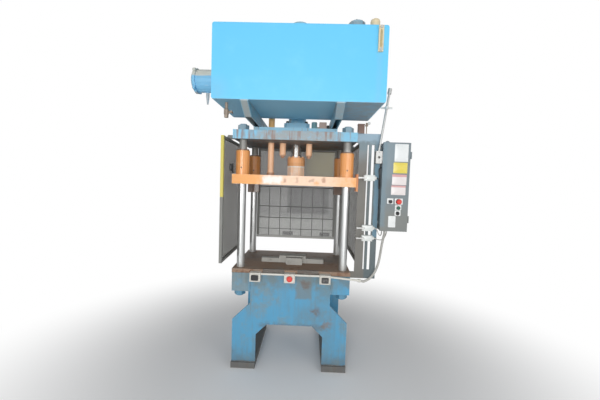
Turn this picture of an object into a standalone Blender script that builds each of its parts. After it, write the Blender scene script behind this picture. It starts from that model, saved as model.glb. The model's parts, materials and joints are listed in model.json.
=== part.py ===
"""Four-post hydraulic press: a platen guided on four chrome posts and pushed down by one ram.

All lengths are in metres, +Z is up, the front of the press faces -Y and the floor is z = 0.
Every piece is placed in the press's own axes: x = 0 and y = 0 on the ram's centreline.
"""
import math

import bmesh
import bpy
from mathutils import Vector

# General fits
SEAT_GAP = 0.0003
RUNNING_CLEARANCE = 0.0005
CUT_OVERRUN = 0.004
WELD_SINK = 0.002
MERGE_DISTANCE = 0.000002

# Posts
POST_DIAMETER = 0.070
POST_END_DIAMETER = 0.060
POST_SPACING_X = 0.914
POST_SPACING_Y = 0.610
POST_NUT_ACROSS_FLATS = 0.086
POST_NUT_HEIGHT = 0.046
POST_END_STUB = 0.010

# Heights of the main levels
BED_TOP_HEIGHT = 0.886
DAYLIGHT = 0.7412
HEADROOM = 0.3038

# Base weldment
BASE_DEPTH = 0.762
BASE_PLATE_THICKNESS = 0.025
NECK_WIDTH = 0.700
NECK_FOOT_HEIGHT = 0.582
HIP_HEIGHT = 0.430
LEG_SPREAD = 1.010
ARCH_WIDTH = 0.590
ARCH_TOP_WIDTH = 0.400
ARCH_HEIGHT = 0.395
ARCH_SHOULDER_HEIGHT = 0.302
FOOT_WIDTH = 0.212
FOOT_HEIGHT = 0.052
FOOT_LENGTH = 0.802
DECK_THICKNESS = 0.020
HOUSING_WIDTH = 0.151
HOUSING_HEIGHT = 0.165
HOUSING_SETBACK = 0.002

# Bed plate and what is bolted on it
BED_WIDTH = 1.036
BED_THICKNESS = 0.035
STRIP_LENGTH = 0.183
STRIP_PITCH = 0.301
STRIP_STANDOFF = 0.012
STRIP_RISE = 0.006
STRIP_RIB_DEPTH = 0.004
DIE_BLOCK_WIDTH = 0.250
DIE_BLOCK_DEPTH = 0.100
DIE_BLOCK_HEIGHT = 0.066
DIE_BLOCK_SETBACK = 0.060
DIE_NOSE_WIDTH = 0.152
DIE_NOSE_DEPTH = 0.070
DIE_NOSE_DROP = 0.006
DIE_NOSE_OFFSET = 0.018
DIE_RAIL_SPREAD = 0.590
DIE_RAIL_DEPTH = 0.055
DIE_RAIL_HEIGHT = 0.040

# Moving platen and its guides
PLATEN_WIDTH = 1.067
PLATEN_DEPTH = 0.762
PLATEN_THICKNESS = 0.0824
RAM_STROKE = 0.508
BUSHING_DIAMETER = 0.122
BUSHING_HEIGHT = 0.220
BUSHING_SPIGOT_DIAMETER = 0.098
BUSHING_CHAMFER = 0.004
BUSHING_WIPER_HEIGHT = 0.010
WIPER_BLOCK_WIDTH = 0.116
WIPER_BLOCK_HEIGHT = 0.090
TRIP_TAB_THICKNESS = 0.018
TRIP_TAB_DEPTH = 0.072
TRIP_TAB_RISE = 0.031
TRIP_TAB_DROP = 0.035

# Ram, its coupling and the rods beside it
RAM_DIAMETER = 0.102
RAM_FLANGE_THICKNESS = 0.032
COUPLING_DIAMETER = 0.170
COUPLING_BLOCK_HEIGHT = 0.101
COUPLING_BLOCK_DIAMETER = 0.166
COUPLING_RING_THICKNESS = 0.048
COUPLING_BOLT_COUNT = 8
COUPLING_BOLT_DIAMETER = 0.020
COUPLING_BOLT_HEAD = 0.010
COUPLING_CHAMFER = 0.004
COUPLING_GROOVE_DIAMETER = 0.024
PISTON_HEIGHT = 0.070
STOP_ROD_DIAMETER = 0.057
STOP_ROD_X = -0.233
ROD_LINE_Y = -0.124
STOP_ROD_LENGTH = 1.1404
STOP_ROD_SOCKET_DIAMETER = 0.072
STOP_ROD_CHAMFER = 0.004
STOP_ROD_SOCKET_HEIGHT = 0.036
KNOCKOUT_SPACING = 0.246
KNOCKOUT_DIAMETER = 0.058
KNOCKOUT_LENGTH = 0.112
KNOCKOUT_TIP_DIAMETER = 0.036
KNOCKOUT_TIP_LENGTH = 0.024

# Crown, top plate and cylinder
CROWN_WIDTH = 1.067
CROWN_DEPTH = 0.762
CROWN_THICKNESS = 0.0784
ROD_PASSAGE_CLEARANCE = 0.004
TOP_PLATE_WIDTH = 0.722
TOP_PLATE_DEPTH = 0.702
TOP_PLATE_THICKNESS = 0.030
CYLINDER_HEAD_WIDTH = 0.240
CYLINDER_HEAD_HEIGHT = 0.084
CYLINDER_HEAD_CORNER = 0.030
CYLINDER_DIAMETER = 0.168
CYLINDER_BORE = 0.140
CYLINDER_HEIGHT = 1.0259
CYLINDER_CAP_THICKNESS = 0.060
CYLINDER_CAP_CHAMFER = 0.006

# Oil tank on its two channel beams
TANK_WIDTH = 1.195
TANK_OFFSET_X = 0.037
TANK_FRONT_OVERHANG = 0.523
TANK_DEPTH = 0.616
TANK_HEIGHT = 0.513
TANK_WALL = 0.005
TANK_CORNER_RADIUS = 0.014
BEAM_WIDTH = 0.056
BEAM_HEIGHT = 0.0862
BEAM_WALL = 0.008
BEAM_SPREAD = 0.720
BEAM_MITRE = 0.150
BEAM_REAR_REACH = 0.330
STRAINER_DIAMETER = 0.116
STRAINER_HEIGHT = 0.062
STRAINER_HOLE_DIAMETER = 0.080
STRAINER_X = 0.430
STRAINER_SETBACK = 0.100
STRAINER_LID_CROWN = 0.012
FILLER_X = 0.548
FILLER_SETBACK = 0.052
FILLER_NECK_DIAMETER = 0.050
FILLER_NECK_HEIGHT = 0.026
FILLER_NECK_WALL = 0.004
FILLER_CAP_DIAMETER = 0.066
FILLER_CAP_HEIGHT = 0.062
FILLER_CAP_WALL = 0.004
FILLER_CAP_LIFT = 0.060
GAUGE_X = 0.579
GAUGE_WIDTH = 0.034
GAUGE_LENGTH = 0.172
GAUGE_THICKNESS = 0.018
GAUGE_DROP = 0.008
GAUGE_WINDOW_WIDTH = 0.014
GAUGE_WINDOW_DEPTH = 0.006
DRAIN_X = -0.478
DRAIN_SETBACK = 0.100
DRAIN_PIPE_DIAMETER = 0.022
DRAIN_BODY_DIAMETER = 0.038
DRAIN_PIPE_LENGTH = 0.040
DRAIN_BODY_LENGTH = 0.066
DRAIN_STEM_DIAMETER = 0.014
DRAIN_STEM_LENGTH = 0.016
DRAIN_HANDLE_LENGTH = 0.046
DRAIN_HANDLE_THICKNESS = 0.008

# Pump motor on the tank's left wall
MOTOR_DIAMETER = 0.170
MOTOR_LENGTH = 0.176
MOTOR_SHELL = 0.016
MOTOR_AXIS_RISE = 0.2091
MOTOR_BELL_DIAMETER = 0.190
MOTOR_BELL_LENGTH = 0.036
MOTOR_BELL_WALL = 0.010
MOTOR_FLANGE_DIAMETER = 0.200
MOTOR_FLANGE_THICKNESS = 0.020
MOTOR_LUG_DIAMETER = 0.026
MOTOR_LUG_CIRCLE = 0.192
MOTOR_FIN_COUNT = 20
MOTOR_FIN_HEIGHT = 0.003
MOTOR_SHAFT_DIAMETER = 0.028
MOTOR_ROTOR_DIAMETER = 0.110
MOTOR_ROTOR_LENGTH = 0.110
MOTOR_GLAND_LENGTH = 0.092
MOTOR_GLAND_SHARE = 0.42
MOTOR_GLAND_DIAMETER = 0.026
MOTOR_GLAND_TIP_DIAMETER = 0.012
MOTOR_VENT_WIDTH = 0.014
MOTOR_VENT_LENGTH = 0.050
MOTOR_VENT_COUNT = 5
PUMP_WIDTH = 0.110
PUMP_LENGTH = 0.120

# Valves between the beams
VALVE_X = 0.240
VALVE_Y = -0.200
VALVE_WIDTH = 0.064
VALVE_DEPTH = 0.110
VALVE_HEIGHT = 0.072
COIL_DIAMETER = 0.050
COIL_LENGTH = 0.078
COIL_X = 0.163

# Slotted switch stand bolted to the crown and bed on the right
STAND_PLATE = 0.012
STAND_FRONT_SETBACK = 0.047
STAND_WIDTH = 0.204
STAND_WINDOW_WIDTH = 0.022
STAND_RAIL_HEIGHT = 0.056
STAND_HEAD_HEIGHT = 0.072
STAND_SLOT_A_START = 0.094
STAND_SLOT_A_WIDTH = 0.012
STAND_SLOT_B_START = 0.130
STAND_SLOT_B_WIDTH = 0.024
STAND_SLOT_MARGIN = 0.022
STAND_RETURN_DEPTH = 0.060

# Limit switches on the stand
SWITCH_LENGTH = 0.092
SWITCH_HEIGHT = 0.050
SWITCH_DEPTH = 0.040
SWITCH_UPPER_RISE = 0.826
SWITCH_SLOW_RISE = 0.394
SWITCH_BOTTOM_RISE = 0.306
SWITCH_PIVOT_INSET = 0.012
SWITCH_COVER_THICKNESS = 0.006
ARM_WIDTH = 0.012
ARM_THICKNESS = 0.004
ARM_HUB_DIAMETER = 0.020
ARM_STEM_DIAMETER = 0.008
ARM_STEM_LENGTH = 0.012
ROLLER_DIAMETER = 0.017
ROLLER_WIDTH = 0.010
ROLLER_CLEARANCE = 0.001

# Toggle box and its rising conduit
TOGGLE_BOX_WIDTH = 0.058
TOGGLE_BOX_HEIGHT = 0.108
TOGGLE_BOX_DEPTH = 0.045
TOGGLE_BOX_RISE = 1.004
TOGGLE_RECESS_DIAMETER = 0.020
TOGGLE_LEVER_DIAMETER = 0.006
TOGGLE_LEVER_LENGTH = 0.026
RISER_DIAMETER = 0.020
RISER_LEAN_X = 0.070
RISER_RISE = 1.584
RISER_FITTING_DIAMETER = 0.034
RISER_FITTING_LENGTH = 0.046

# Guards
GUARD_TUBE = 0.025
GUARD_TOP_RISE = 0.0066
GUARD_BOTTOM_RISE = 0.074
GUARD_LEFT_X = -0.5865
GUARD_RIGHT_X = 0.578
GUARD_FRONT_Y = -0.510
GUARD_BAR = 0.010
GUARD_BAR_THICKNESS = 0.004
GUARD_ROWS = 5
GUARD_COLUMNS = 3
GUARD_LUG_HEIGHT = 0.040
GUARD_LUG_THICKNESS = 0.008
LUG_SPREAD = 0.36
REAR_GUARD_STANDOFF = 0.014
REAR_GUARD_WIDTH = 0.870
REAR_GUARD_BOTTOM_RISE = 0.150

# Control box with its hinged door
BOX_LEFT_X = 0.753
BOX_WIDTH = 0.222
BOX_HEIGHT = 0.744
BOX_BOTTOM_RISE = 0.382
BOX_DEPTH = 0.200
BOX_FRONT_Y = -0.380
BOX_WALL = 0.003
BOX_RIM = 0.012
DOOR_THICKNESS = 0.014
DOOR_LIP = 0.005
HINGE_RADIUS = 0.006
HINGE_LENGTH = 0.060
HINGE_INSET = 0.100
BACK_PANEL_THICKNESS = 0.006
CONTACTOR_WIDTH = 0.090
CONTACTOR_HEIGHT = 0.110
CONTACTOR_DEPTH = 0.070
LIFT_EYE_DIAMETER = 0.048
LIFT_EYE_WIRE = 0.010
DOOR_BUTTON_DIAMETER = 0.030
DOOR_STOP_DIAMETER = 0.046
DOOR_BUTTON_STEM_DIAMETER = 0.016
DOOR_BUTTON_STEM_LENGTH = 0.024
DOOR_BUTTON_STANDOFF = 0.006
DOOR_BUTTON_HEAD = 0.012
DOOR_STOP_HEAD = 0.022
BUTTON_TRAVEL = 0.004

# Front push-button rail
RAIL_BOX_WIDTH = 0.094
RAIL_BOX_HEIGHT = 0.078
RAIL_BOX_DEPTH = 0.064
RAIL_BOX_DROP = 0.054
RAIL_LEFT_X = -0.303
RAIL_MIDDLE_X = -0.006
RAIL_RIGHT_X = 0.297
RAIL_STEM_DIAMETER = 0.022
RAIL_STEM_LENGTH = 0.024
PALM_WIDTH = 0.060
PALM_HEIGHT = 0.046
PALM_THICKNESS = 0.018
PALM_EDGE = 0.004
STOP_BUTTON_DIAMETER = 0.052
STOP_BUTTON_THICKNESS = 0.020
CONDUIT_DIAMETER = 0.018
CONDUIT_DROP = 0.028
CONDUIT_END_X = 0.600
CONDUIT_END_DROP = 0.026
FLEX_DIAMETER = 0.021
GLAND_DIAMETER = 0.030
GLAND_LENGTH = 0.022
SWITCH_CABLE_DIAMETER = 0.008
# Places that the conduit and the switch cable pass, as shares of the run from end to end
CONDUIT_ROUTE = (
    (0.367, -0.018, 0.060), (0.571, 0.047, 0.184), (0.707, 0.133, 0.351),
    (0.794, 0.328, 0.535), (0.872, 0.610, 0.707), (0.955, 0.870, 0.845),
)
CABLE_ROUTE = (
    (0.465, -0.538, -0.458), (0.535, -0.678, -0.785), (0.606, -0.678, -0.981),
    (0.653, -0.469, -0.785), (0.653, 0.161, 0.087),
)

# Facets of round pieces
ROUND_SIDES = 18
SMALL_SIDES = 12
LUG_SIDES = 8
BOLT_SIDES = 6
LARGE_SIDES = 20

# Levels and faces that follow from the sizes above
BED_BOTTOM = BED_TOP_HEIGHT - BED_THICKNESS
PLATEN_BOTTOM_HEIGHT = BED_TOP_HEIGHT + DAYLIGHT
PLATEN_TOP = PLATEN_BOTTOM_HEIGHT + PLATEN_THICKNESS
CROWN_BOTTOM_HEIGHT = PLATEN_TOP + HEADROOM
CROWN_TOP = CROWN_BOTTOM_HEIGHT + CROWN_THICKNESS
TOP_PLATE_BOTTOM = CROWN_TOP + SEAT_GAP
TOP_PLATE_TOP = TOP_PLATE_BOTTOM + TOP_PLATE_THICKNESS
TANK_BOTTOM_HEIGHT = TOP_PLATE_TOP + SEAT_GAP + BEAM_HEIGHT + SEAT_GAP
CYLINDER_TOP_HEIGHT = TOP_PLATE_TOP + CYLINDER_HEIGHT
STOP_ROD_TOP_HEIGHT = PLATEN_TOP + STOP_ROD_LENGTH
MOTOR_AXIS_HEIGHT = TANK_BOTTOM_HEIGHT + MOTOR_AXIS_RISE
STAND_FOOT_HEIGHT = BED_TOP_HEIGHT - STAND_RAIL_HEIGHT
SWITCH_UPPER_HEIGHT = BED_TOP_HEIGHT + SWITCH_UPPER_RISE
SWITCH_SLOW_HEIGHT = BED_TOP_HEIGHT + SWITCH_SLOW_RISE
SWITCH_BOTTOM_HEIGHT = BED_TOP_HEIGHT + SWITCH_BOTTOM_RISE
TOGGLE_BOX_CENTRE_HEIGHT = BED_TOP_HEIGHT + TOGGLE_BOX_RISE
RISER_TOP_HEIGHT = BED_TOP_HEIGHT + RISER_RISE
GUARD_TOP_HEIGHT = CROWN_BOTTOM_HEIGHT + GUARD_TOP_RISE
GUARD_BOTTOM_HEIGHT = BED_TOP_HEIGHT + GUARD_BOTTOM_RISE
REAR_GUARD_BOTTOM_HEIGHT = BED_TOP_HEIGHT + REAR_GUARD_BOTTOM_RISE
BOX_BOTTOM_HEIGHT = BED_TOP_HEIGHT + BOX_BOTTOM_RISE
RAIL_BOX_CENTRE_HEIGHT = BED_TOP_HEIGHT - RAIL_BOX_DROP
CONDUIT_HEIGHT = BED_TOP_HEIGHT - CONDUIT_DROP
BASE_TOP = BED_BOTTOM - SEAT_GAP
FRONT_Y = -0.5 * BASE_DEPTH
PLATEN_END_X = 0.5 * PLATEN_WIDTH
CROWN_END_X = 0.5 * CROWN_WIDTH
TANK_FRONT_Y = -0.5 * CROWN_DEPTH - TANK_FRONT_OVERHANG
TANK_REAR_Y = TANK_FRONT_Y + TANK_DEPTH
TANK_LEFT_X = TANK_OFFSET_X - 0.5 * TANK_WIDTH
TANK_RIGHT_X = TANK_OFFSET_X + 0.5 * TANK_WIDTH
TANK_TOP = TANK_BOTTOM_HEIGHT + TANK_HEIGHT
MOTOR_Y = 0.5 * (TANK_FRONT_Y + TANK_REAR_Y)
MOTOR_END_X = TANK_LEFT_X - SEAT_GAP - MOTOR_FLANGE_THICKNESS - MOTOR_LENGTH - SEAT_GAP - MOTOR_BELL_LENGTH
STAND_LEFT_X = CROWN_END_X + SEAT_GAP
STAND_RIGHT_X = STAND_LEFT_X + STAND_WIDTH
STAND_FRONT_Y = FRONT_Y + STAND_FRONT_SETBACK
STAND_BACK_Y = STAND_FRONT_Y + STAND_PLATE
BOX_RIGHT_X = BOX_LEFT_X + BOX_WIDTH
DOOR_RIGHT_X = BOX_RIGHT_X + DOOR_LIP
HINGE_X = DOOR_RIGHT_X + HINGE_RADIUS + RUNNING_CLEARANCE
GUARD_REAR_Y = 0.5 * CROWN_DEPTH + REAR_GUARD_STANDOFF + GUARD_TUBE
CENTRE_X = 0.5 * (MOTOR_END_X + HINGE_X + HINGE_RADIUS)
CENTRE_Y = 0.5 * (TANK_FRONT_Y - GAUGE_THICKNESS - SEAT_GAP + GUARD_REAR_Y)

COLOURS = {
    "tank_blue": ((0.105, 0.42, 0.76, 1.0), 0.0, 0.35),
    "frame_blue": ((0.13, 0.33, 0.50, 1.0), 0.0, 0.55),
    "orange": ((0.83, 0.27, 0.07, 1.0), 0.0, 0.50),
    "chrome": ((0.72, 0.72, 0.70, 1.0), 1.0, 0.14),
    "steel": ((0.42, 0.40, 0.38, 1.0), 1.0, 0.45),
    "rusty_steel": ((0.20, 0.12, 0.085, 1.0), 0.6, 0.70),
    "galvanised": ((0.60, 0.61, 0.62, 1.0), 1.0, 0.42),
    "box_grey": ((0.23, 0.30, 0.36, 1.0), 0.0, 0.50),
    "guard_grey": ((0.30, 0.29, 0.27, 1.0), 0.2, 0.65),
    "pale_plastic": ((0.78, 0.77, 0.72, 1.0), 0.0, 0.45),
    "black": ((0.02, 0.02, 0.022, 1.0), 0.0, 0.40),
    "red": ((0.70, 0.05, 0.04, 1.0), 0.0, 0.35),
    "green": ((0.03, 0.16, 0.09, 1.0), 0.0, 0.40),
    "bronze": ((0.44, 0.31, 0.22, 1.0), 0.9, 0.45),
    "tan": ((0.72, 0.62, 0.42, 1.0), 0.0, 0.50),
    "cream": ((0.62, 0.62, 0.58, 1.0), 0.0, 0.50),
    "brown": ((0.30, 0.17, 0.12, 1.0), 0.0, 0.60),
}


def clear_scene():
    """Remove whatever the file opened with."""
    for item in list(bpy.data.objects):
        bpy.data.objects.remove(item, do_unlink=True)


def finish_material(name, colour):
    """Make the Principled material of one piece."""
    material = bpy.data.materials.new(name + "_finish")
    material.use_nodes = True
    shader = material.node_tree.nodes["Principled BSDF"]
    tint, metallic, roughness = COLOURS[colour]
    shader.inputs["Base Color"].default_value = tint
    shader.inputs["Metallic"].default_value = metallic
    shader.inputs["Roughness"].default_value = roughness
    return material


def add_empty(name, location, parent):
    """Place an empty that carries the pieces of one moving group."""
    empty = bpy.data.objects.new(name, None)
    bpy.context.scene.collection.objects.link(empty)
    empty.location = location
    empty.parent = parent
    return empty


def add_object(name, bm, location, parent, colour=None, rotation=(0.0, 0.0, 0.0)):
    """Link a bmesh as an object; without a colour it is a hidden tool for a Boolean."""
    bmesh.ops.recalc_face_normals(bm, faces=bm.faces)
    mesh = bpy.data.meshes.new(name)
    bm.to_mesh(mesh)
    bm.free()
    item = bpy.data.objects.new(name, mesh)
    bpy.context.scene.collection.objects.link(item)
    item.location = location
    item.rotation_euler = rotation
    item.parent = parent
    if colour is None:
        item.hide_render = True
        item.display_type = "WIRE"
    else:
        mesh.materials.append(finish_material(name, colour))
    return item


def smooth_round(item, degrees=32.0):
    """Shade the round faces smooth and keep the edges sharp."""
    item.data.shade_smooth()
    item.data.set_sharp_from_angle(angle=math.radians(degrees))


def box_mesh(size):
    """A box centred on its origin."""
    bm = bmesh.new()
    bmesh.ops.create_cube(bm, size=1.0)
    bmesh.ops.scale(bm, vec=Vector(size), verts=bm.verts)
    return bm


def add_box(name, low, high, parent, colour=None, origin=None, edge=0.0):
    """A box between two corners; its origin is its centre or the point given."""
    size = [b - a for a, b in zip(low, high)]
    middle = [0.5 * (a + b) for a, b in zip(low, high)]
    bm = box_mesh(size)
    if edge > 0.0:
        bmesh.ops.bevel(bm, geom=list(bm.edges), offset=edge, segments=1, affect="EDGES")
    place = middle
    if origin is not None:
        shift = Vector(middle) - Vector(origin)
        bmesh.ops.translate(bm, vec=shift, verts=bm.verts)
        place = origin
    return add_object(name, bm, place, parent, colour)


def prism_mesh(outline, axis, start, end):
    """Extrude a closed outline along an axis; the outline is in the other two axes, in order."""
    bm = bmesh.new()
    corners = []
    for a, b in outline:
        if axis == "X":
            place = (start, a, b)
        elif axis == "Y":
            place = (a, start, b)
        else:
            place = (a, b, start)
        corners.append(bm.verts.new(place))
    face = bm.faces.new(corners)
    pushed = bmesh.ops.extrude_face_region(bm, geom=[face])
    moved = [part for part in pushed["geom"] if isinstance(part, bmesh.types.BMVert)]
    length = end - start
    step = {"X": (length, 0.0, 0.0), "Y": (0.0, length, 0.0), "Z": (0.0, 0.0, length)}[axis]
    bmesh.ops.translate(bm, vec=step, verts=moved)
    return bm


def add_prism(name, outline, axis, start, end, parent, colour=None, origin=(0.0, 0.0, 0.0)):
    """An extruded outline given in press axes, with its origin at the point given."""
    bm = prism_mesh(outline, axis, start, end)
    bmesh.ops.translate(bm, vec=-Vector(origin), verts=bm.verts)
    return add_object(name, bm, origin, parent, colour)


def ring_radius(radius, flats, angle):
    """Distance to a circle, or to a regular polygon whose flats lie at this radius.

    The polygon has a corner at angle zero.
    """
    if flats == 0:
        return radius
    half = math.pi / flats
    turn = angle % (2.0 * half) - half
    return radius / math.cos(turn)


def turned_mesh(profile, sides):
    """Turn a profile about Z.

    Each entry is (radius, height) or (radius, height, flats). An open profile that starts and
    ends on the axis closes itself; any other profile is closed into a ring.
    """
    bm = bmesh.new()
    rings = []
    for entry in profile:
        radius, height = entry[0], entry[1]
        flats = entry[2] if len(entry) > 2 else 0
        if radius <= 0.0:
            rings.append([bm.verts.new((0.0, 0.0, height))])
            continue
        ring = []
        for index in range(sides):
            angle = 2.0 * math.pi * index / sides
            reach = ring_radius(radius, flats, angle)
            ring.append(bm.verts.new((reach * math.cos(angle), reach * math.sin(angle), height)))
        rings.append(ring)
    pairs = list(zip(rings[:-1], rings[1:]))
    if len(rings[0]) > 1:
        pairs.append((rings[-1], rings[0]))
    for first, second in pairs:
        for index in range(sides):
            nxt = (index + 1) % sides
            if len(first) == 1:
                bm.faces.new((first[0], second[index], second[nxt]))
            elif len(second) == 1:
                bm.faces.new((first[index], second[0], first[nxt]))
            else:
                bm.faces.new((first[index], second[index], second[nxt], first[nxt]))
    return bm


TURN_TO_X = (0.0, 0.5 * math.pi, 0.0)
TURN_TO_FRONT = (0.5 * math.pi, 0.0, 0.0)


def add_turned(name, profile, place, parent, colour=None, sides=ROUND_SIDES, rotation=(0.0, 0.0, 0.0)):
    """A turned piece standing at a place; a rotation lays its axis down."""
    item = add_object(name, turned_mesh(profile, sides), place, parent, colour, rotation)
    smooth_round(item)
    return item


def rod_profile(radius, start, end, chamfer=0.0):
    """Profile of a plain round bar, with a chamfer at both ends when one is given."""
    if chamfer <= 0.0:
        return [(0.0, start), (radius, start), (radius, end), (0.0, end)]
    return [
        (0.0, start),
        (radius - chamfer, start),
        (radius, start + chamfer),
        (radius, end - chamfer),
        (radius - chamfer, end),
        (0.0, end),
    ]


def boolean(item, tool, operation):
    """Cut an object with a tool, or join the tool to it."""
    modifier = item.modifiers.new(operation.title() + "_" + tool.name, "BOOLEAN")
    modifier.operation = operation
    modifier.solver = "EXACT"
    modifier.object = tool


def cut(item, *tools):
    """Cut an object with each tool in turn."""
    for tool in tools:
        boolean(item, tool, "DIFFERENCE")


def join(item, *tools):
    """Weld each tool's shape into an object."""
    for tool in tools:
        boolean(item, tool, "UNION")


def four_corners():
    """The four post places with their names."""
    places = []
    for side_name, side in (("left", -1.0), ("right", 1.0)):
        for row_name, row in (("front", -1.0), ("rear", 1.0)):
            place = (side * 0.5 * POST_SPACING_X, row * 0.5 * POST_SPACING_Y)
            places.append((row_name + "_" + side_name, side, row, place))
    return places


def add_tube(name, points, diameter, parent, colour, resolution=2):
    """A round tube along a smooth route, as a curve with filled caps."""
    curve = bpy.data.curves.new(name, "CURVE")
    curve.dimensions = "3D"
    curve.bevel_depth = 0.5 * diameter
    curve.bevel_resolution = resolution
    curve.use_fill_caps = True
    spline = curve.splines.new("POLY")
    spline.points.add(len(points) - 1)
    for slot, point in zip(spline.points, points):
        slot.co = (point[0], point[1], point[2], 1.0)
    item = bpy.data.objects.new(name, curve)
    bpy.context.scene.collection.objects.link(item)
    item.parent = parent
    curve.materials.append(finish_material(name, colour))
    return item


def smooth_route(knots, spacing):
    """Sample a Catmull-Rom curve through the knots at about an even spacing."""
    padded = [2.0 * Vector(knots[0]) - Vector(knots[1])]
    padded += [Vector(knot) for knot in knots]
    padded.append(2.0 * Vector(knots[-1]) - Vector(knots[-2]))
    points = []
    for index in range(1, len(padded) - 2):
        before, here, after, beyond = padded[index - 1:index + 3]
        steps = max(2, int(round((after - here).length / spacing)))
        for step in range(steps):
            t = step / steps
            straight = 2.0 * here + (after - before) * t
            bend = (2.0 * before - 5.0 * here + 4.0 * after - beyond) * t * t
            twist = (3.0 * here - before - 3.0 * after + beyond) * t * t * t
            points.append(0.5 * (straight + bend + twist))
    points.append(padded[-2])
    return points


def build_base(root):
    """The welded base: two arched plates, side webs, decks, post housings and foot pads."""
    half_neck = 0.5 * NECK_WIDTH
    half_leg = 0.5 * LEG_SPREAD
    half_arch = 0.5 * ARCH_WIDTH
    half_top = 0.5 * ARCH_TOP_WIDTH
    foot_top = FOOT_HEIGHT - WELD_SINK
    outline = [
        (-half_leg, foot_top), (-half_arch, foot_top),
        (-half_arch, ARCH_SHOULDER_HEIGHT), (-half_top, ARCH_HEIGHT),
        (half_top, ARCH_HEIGHT), (half_arch, ARCH_SHOULDER_HEIGHT),
        (half_arch, foot_top), (half_leg, foot_top),
        (half_leg, HIP_HEIGHT), (half_neck, NECK_FOOT_HEIGHT),
        (half_neck, BASE_TOP), (-half_neck, BASE_TOP),
        (-half_neck, NECK_FOOT_HEIGHT), (-half_leg, HIP_HEIGHT),
    ]
    rear_y = -FRONT_Y
    base = add_prism("base_frame", outline, "Y", FRONT_Y, FRONT_Y + BASE_PLATE_THICKNESS, root, "frame_blue")
    rear = add_prism("base_rear_plate", outline, "Y", rear_y - BASE_PLATE_THICKNESS, rear_y, root)
    span_front = FRONT_Y + BASE_PLATE_THICKNESS - WELD_SINK
    span_rear = -span_front
    tools = [rear]
    web_outer = half_neck - WELD_SINK
    web_inner = web_outer - BASE_PLATE_THICKNESS
    for side in (-1.0, 1.0):
        low_x, high_x = sorted((side * web_inner, side * web_outer))
        web = add_box("base_web", (low_x, span_front, ARCH_HEIGHT + WELD_SINK),
                      (high_x, span_rear, BASE_TOP - WELD_SINK), root)
        tools.append(web)
        low_x, high_x = sorted((side * (half_leg + WELD_SINK), side * (half_leg + WELD_SINK - FOOT_WIDTH)))
        foot = add_box("base_foot", (low_x, -0.5 * FOOT_LENGTH, 0.0),
                       (high_x, 0.5 * FOOT_LENGTH, FOOT_HEIGHT), root)
        tools.append(foot)
    deck_low = ARCH_HEIGHT + WELD_SINK
    deck = add_box("base_deck", (-web_outer + WELD_SINK, span_front - WELD_SINK, deck_low),
                   (web_outer - WELD_SINK, span_rear + WELD_SINK, deck_low + DECK_THICKNESS), root)
    tools.append(deck)
    half_bed = 0.5 * BED_WIDTH
    for name, side, row, place in four_corners():
        outer_x = side * (half_bed - WELD_SINK)
        inner_x = side * (half_neck - BASE_PLATE_THICKNESS)
        outer_y = row * (-FRONT_Y - HOUSING_SETBACK)
        inner_y = row * (-FRONT_Y - HOUSING_SETBACK - HOUSING_WIDTH)
        low_x, high_x = sorted((inner_x, outer_x))
        low_y, high_y = sorted((inner_y, outer_y))
        housing = add_box("base_housing_" + name, (low_x, low_y, BASE_TOP - HOUSING_HEIGHT),
                          (high_x, high_y, BASE_TOP - WELD_SINK), root)
        tools.append(housing)
    join(base, *tools)
    bore_radius = 0.5 * POST_END_DIAMETER + SEAT_GAP
    for name, side, row, place in four_corners():
        bore = add_turned("base_bore_" + name,
                          rod_profile(bore_radius, BASE_TOP - HOUSING_HEIGHT - CUT_OVERRUN, BED_TOP_HEIGHT),
                          (place[0], place[1], 0.0), root)
        cut(base, bore)
    return base


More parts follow.
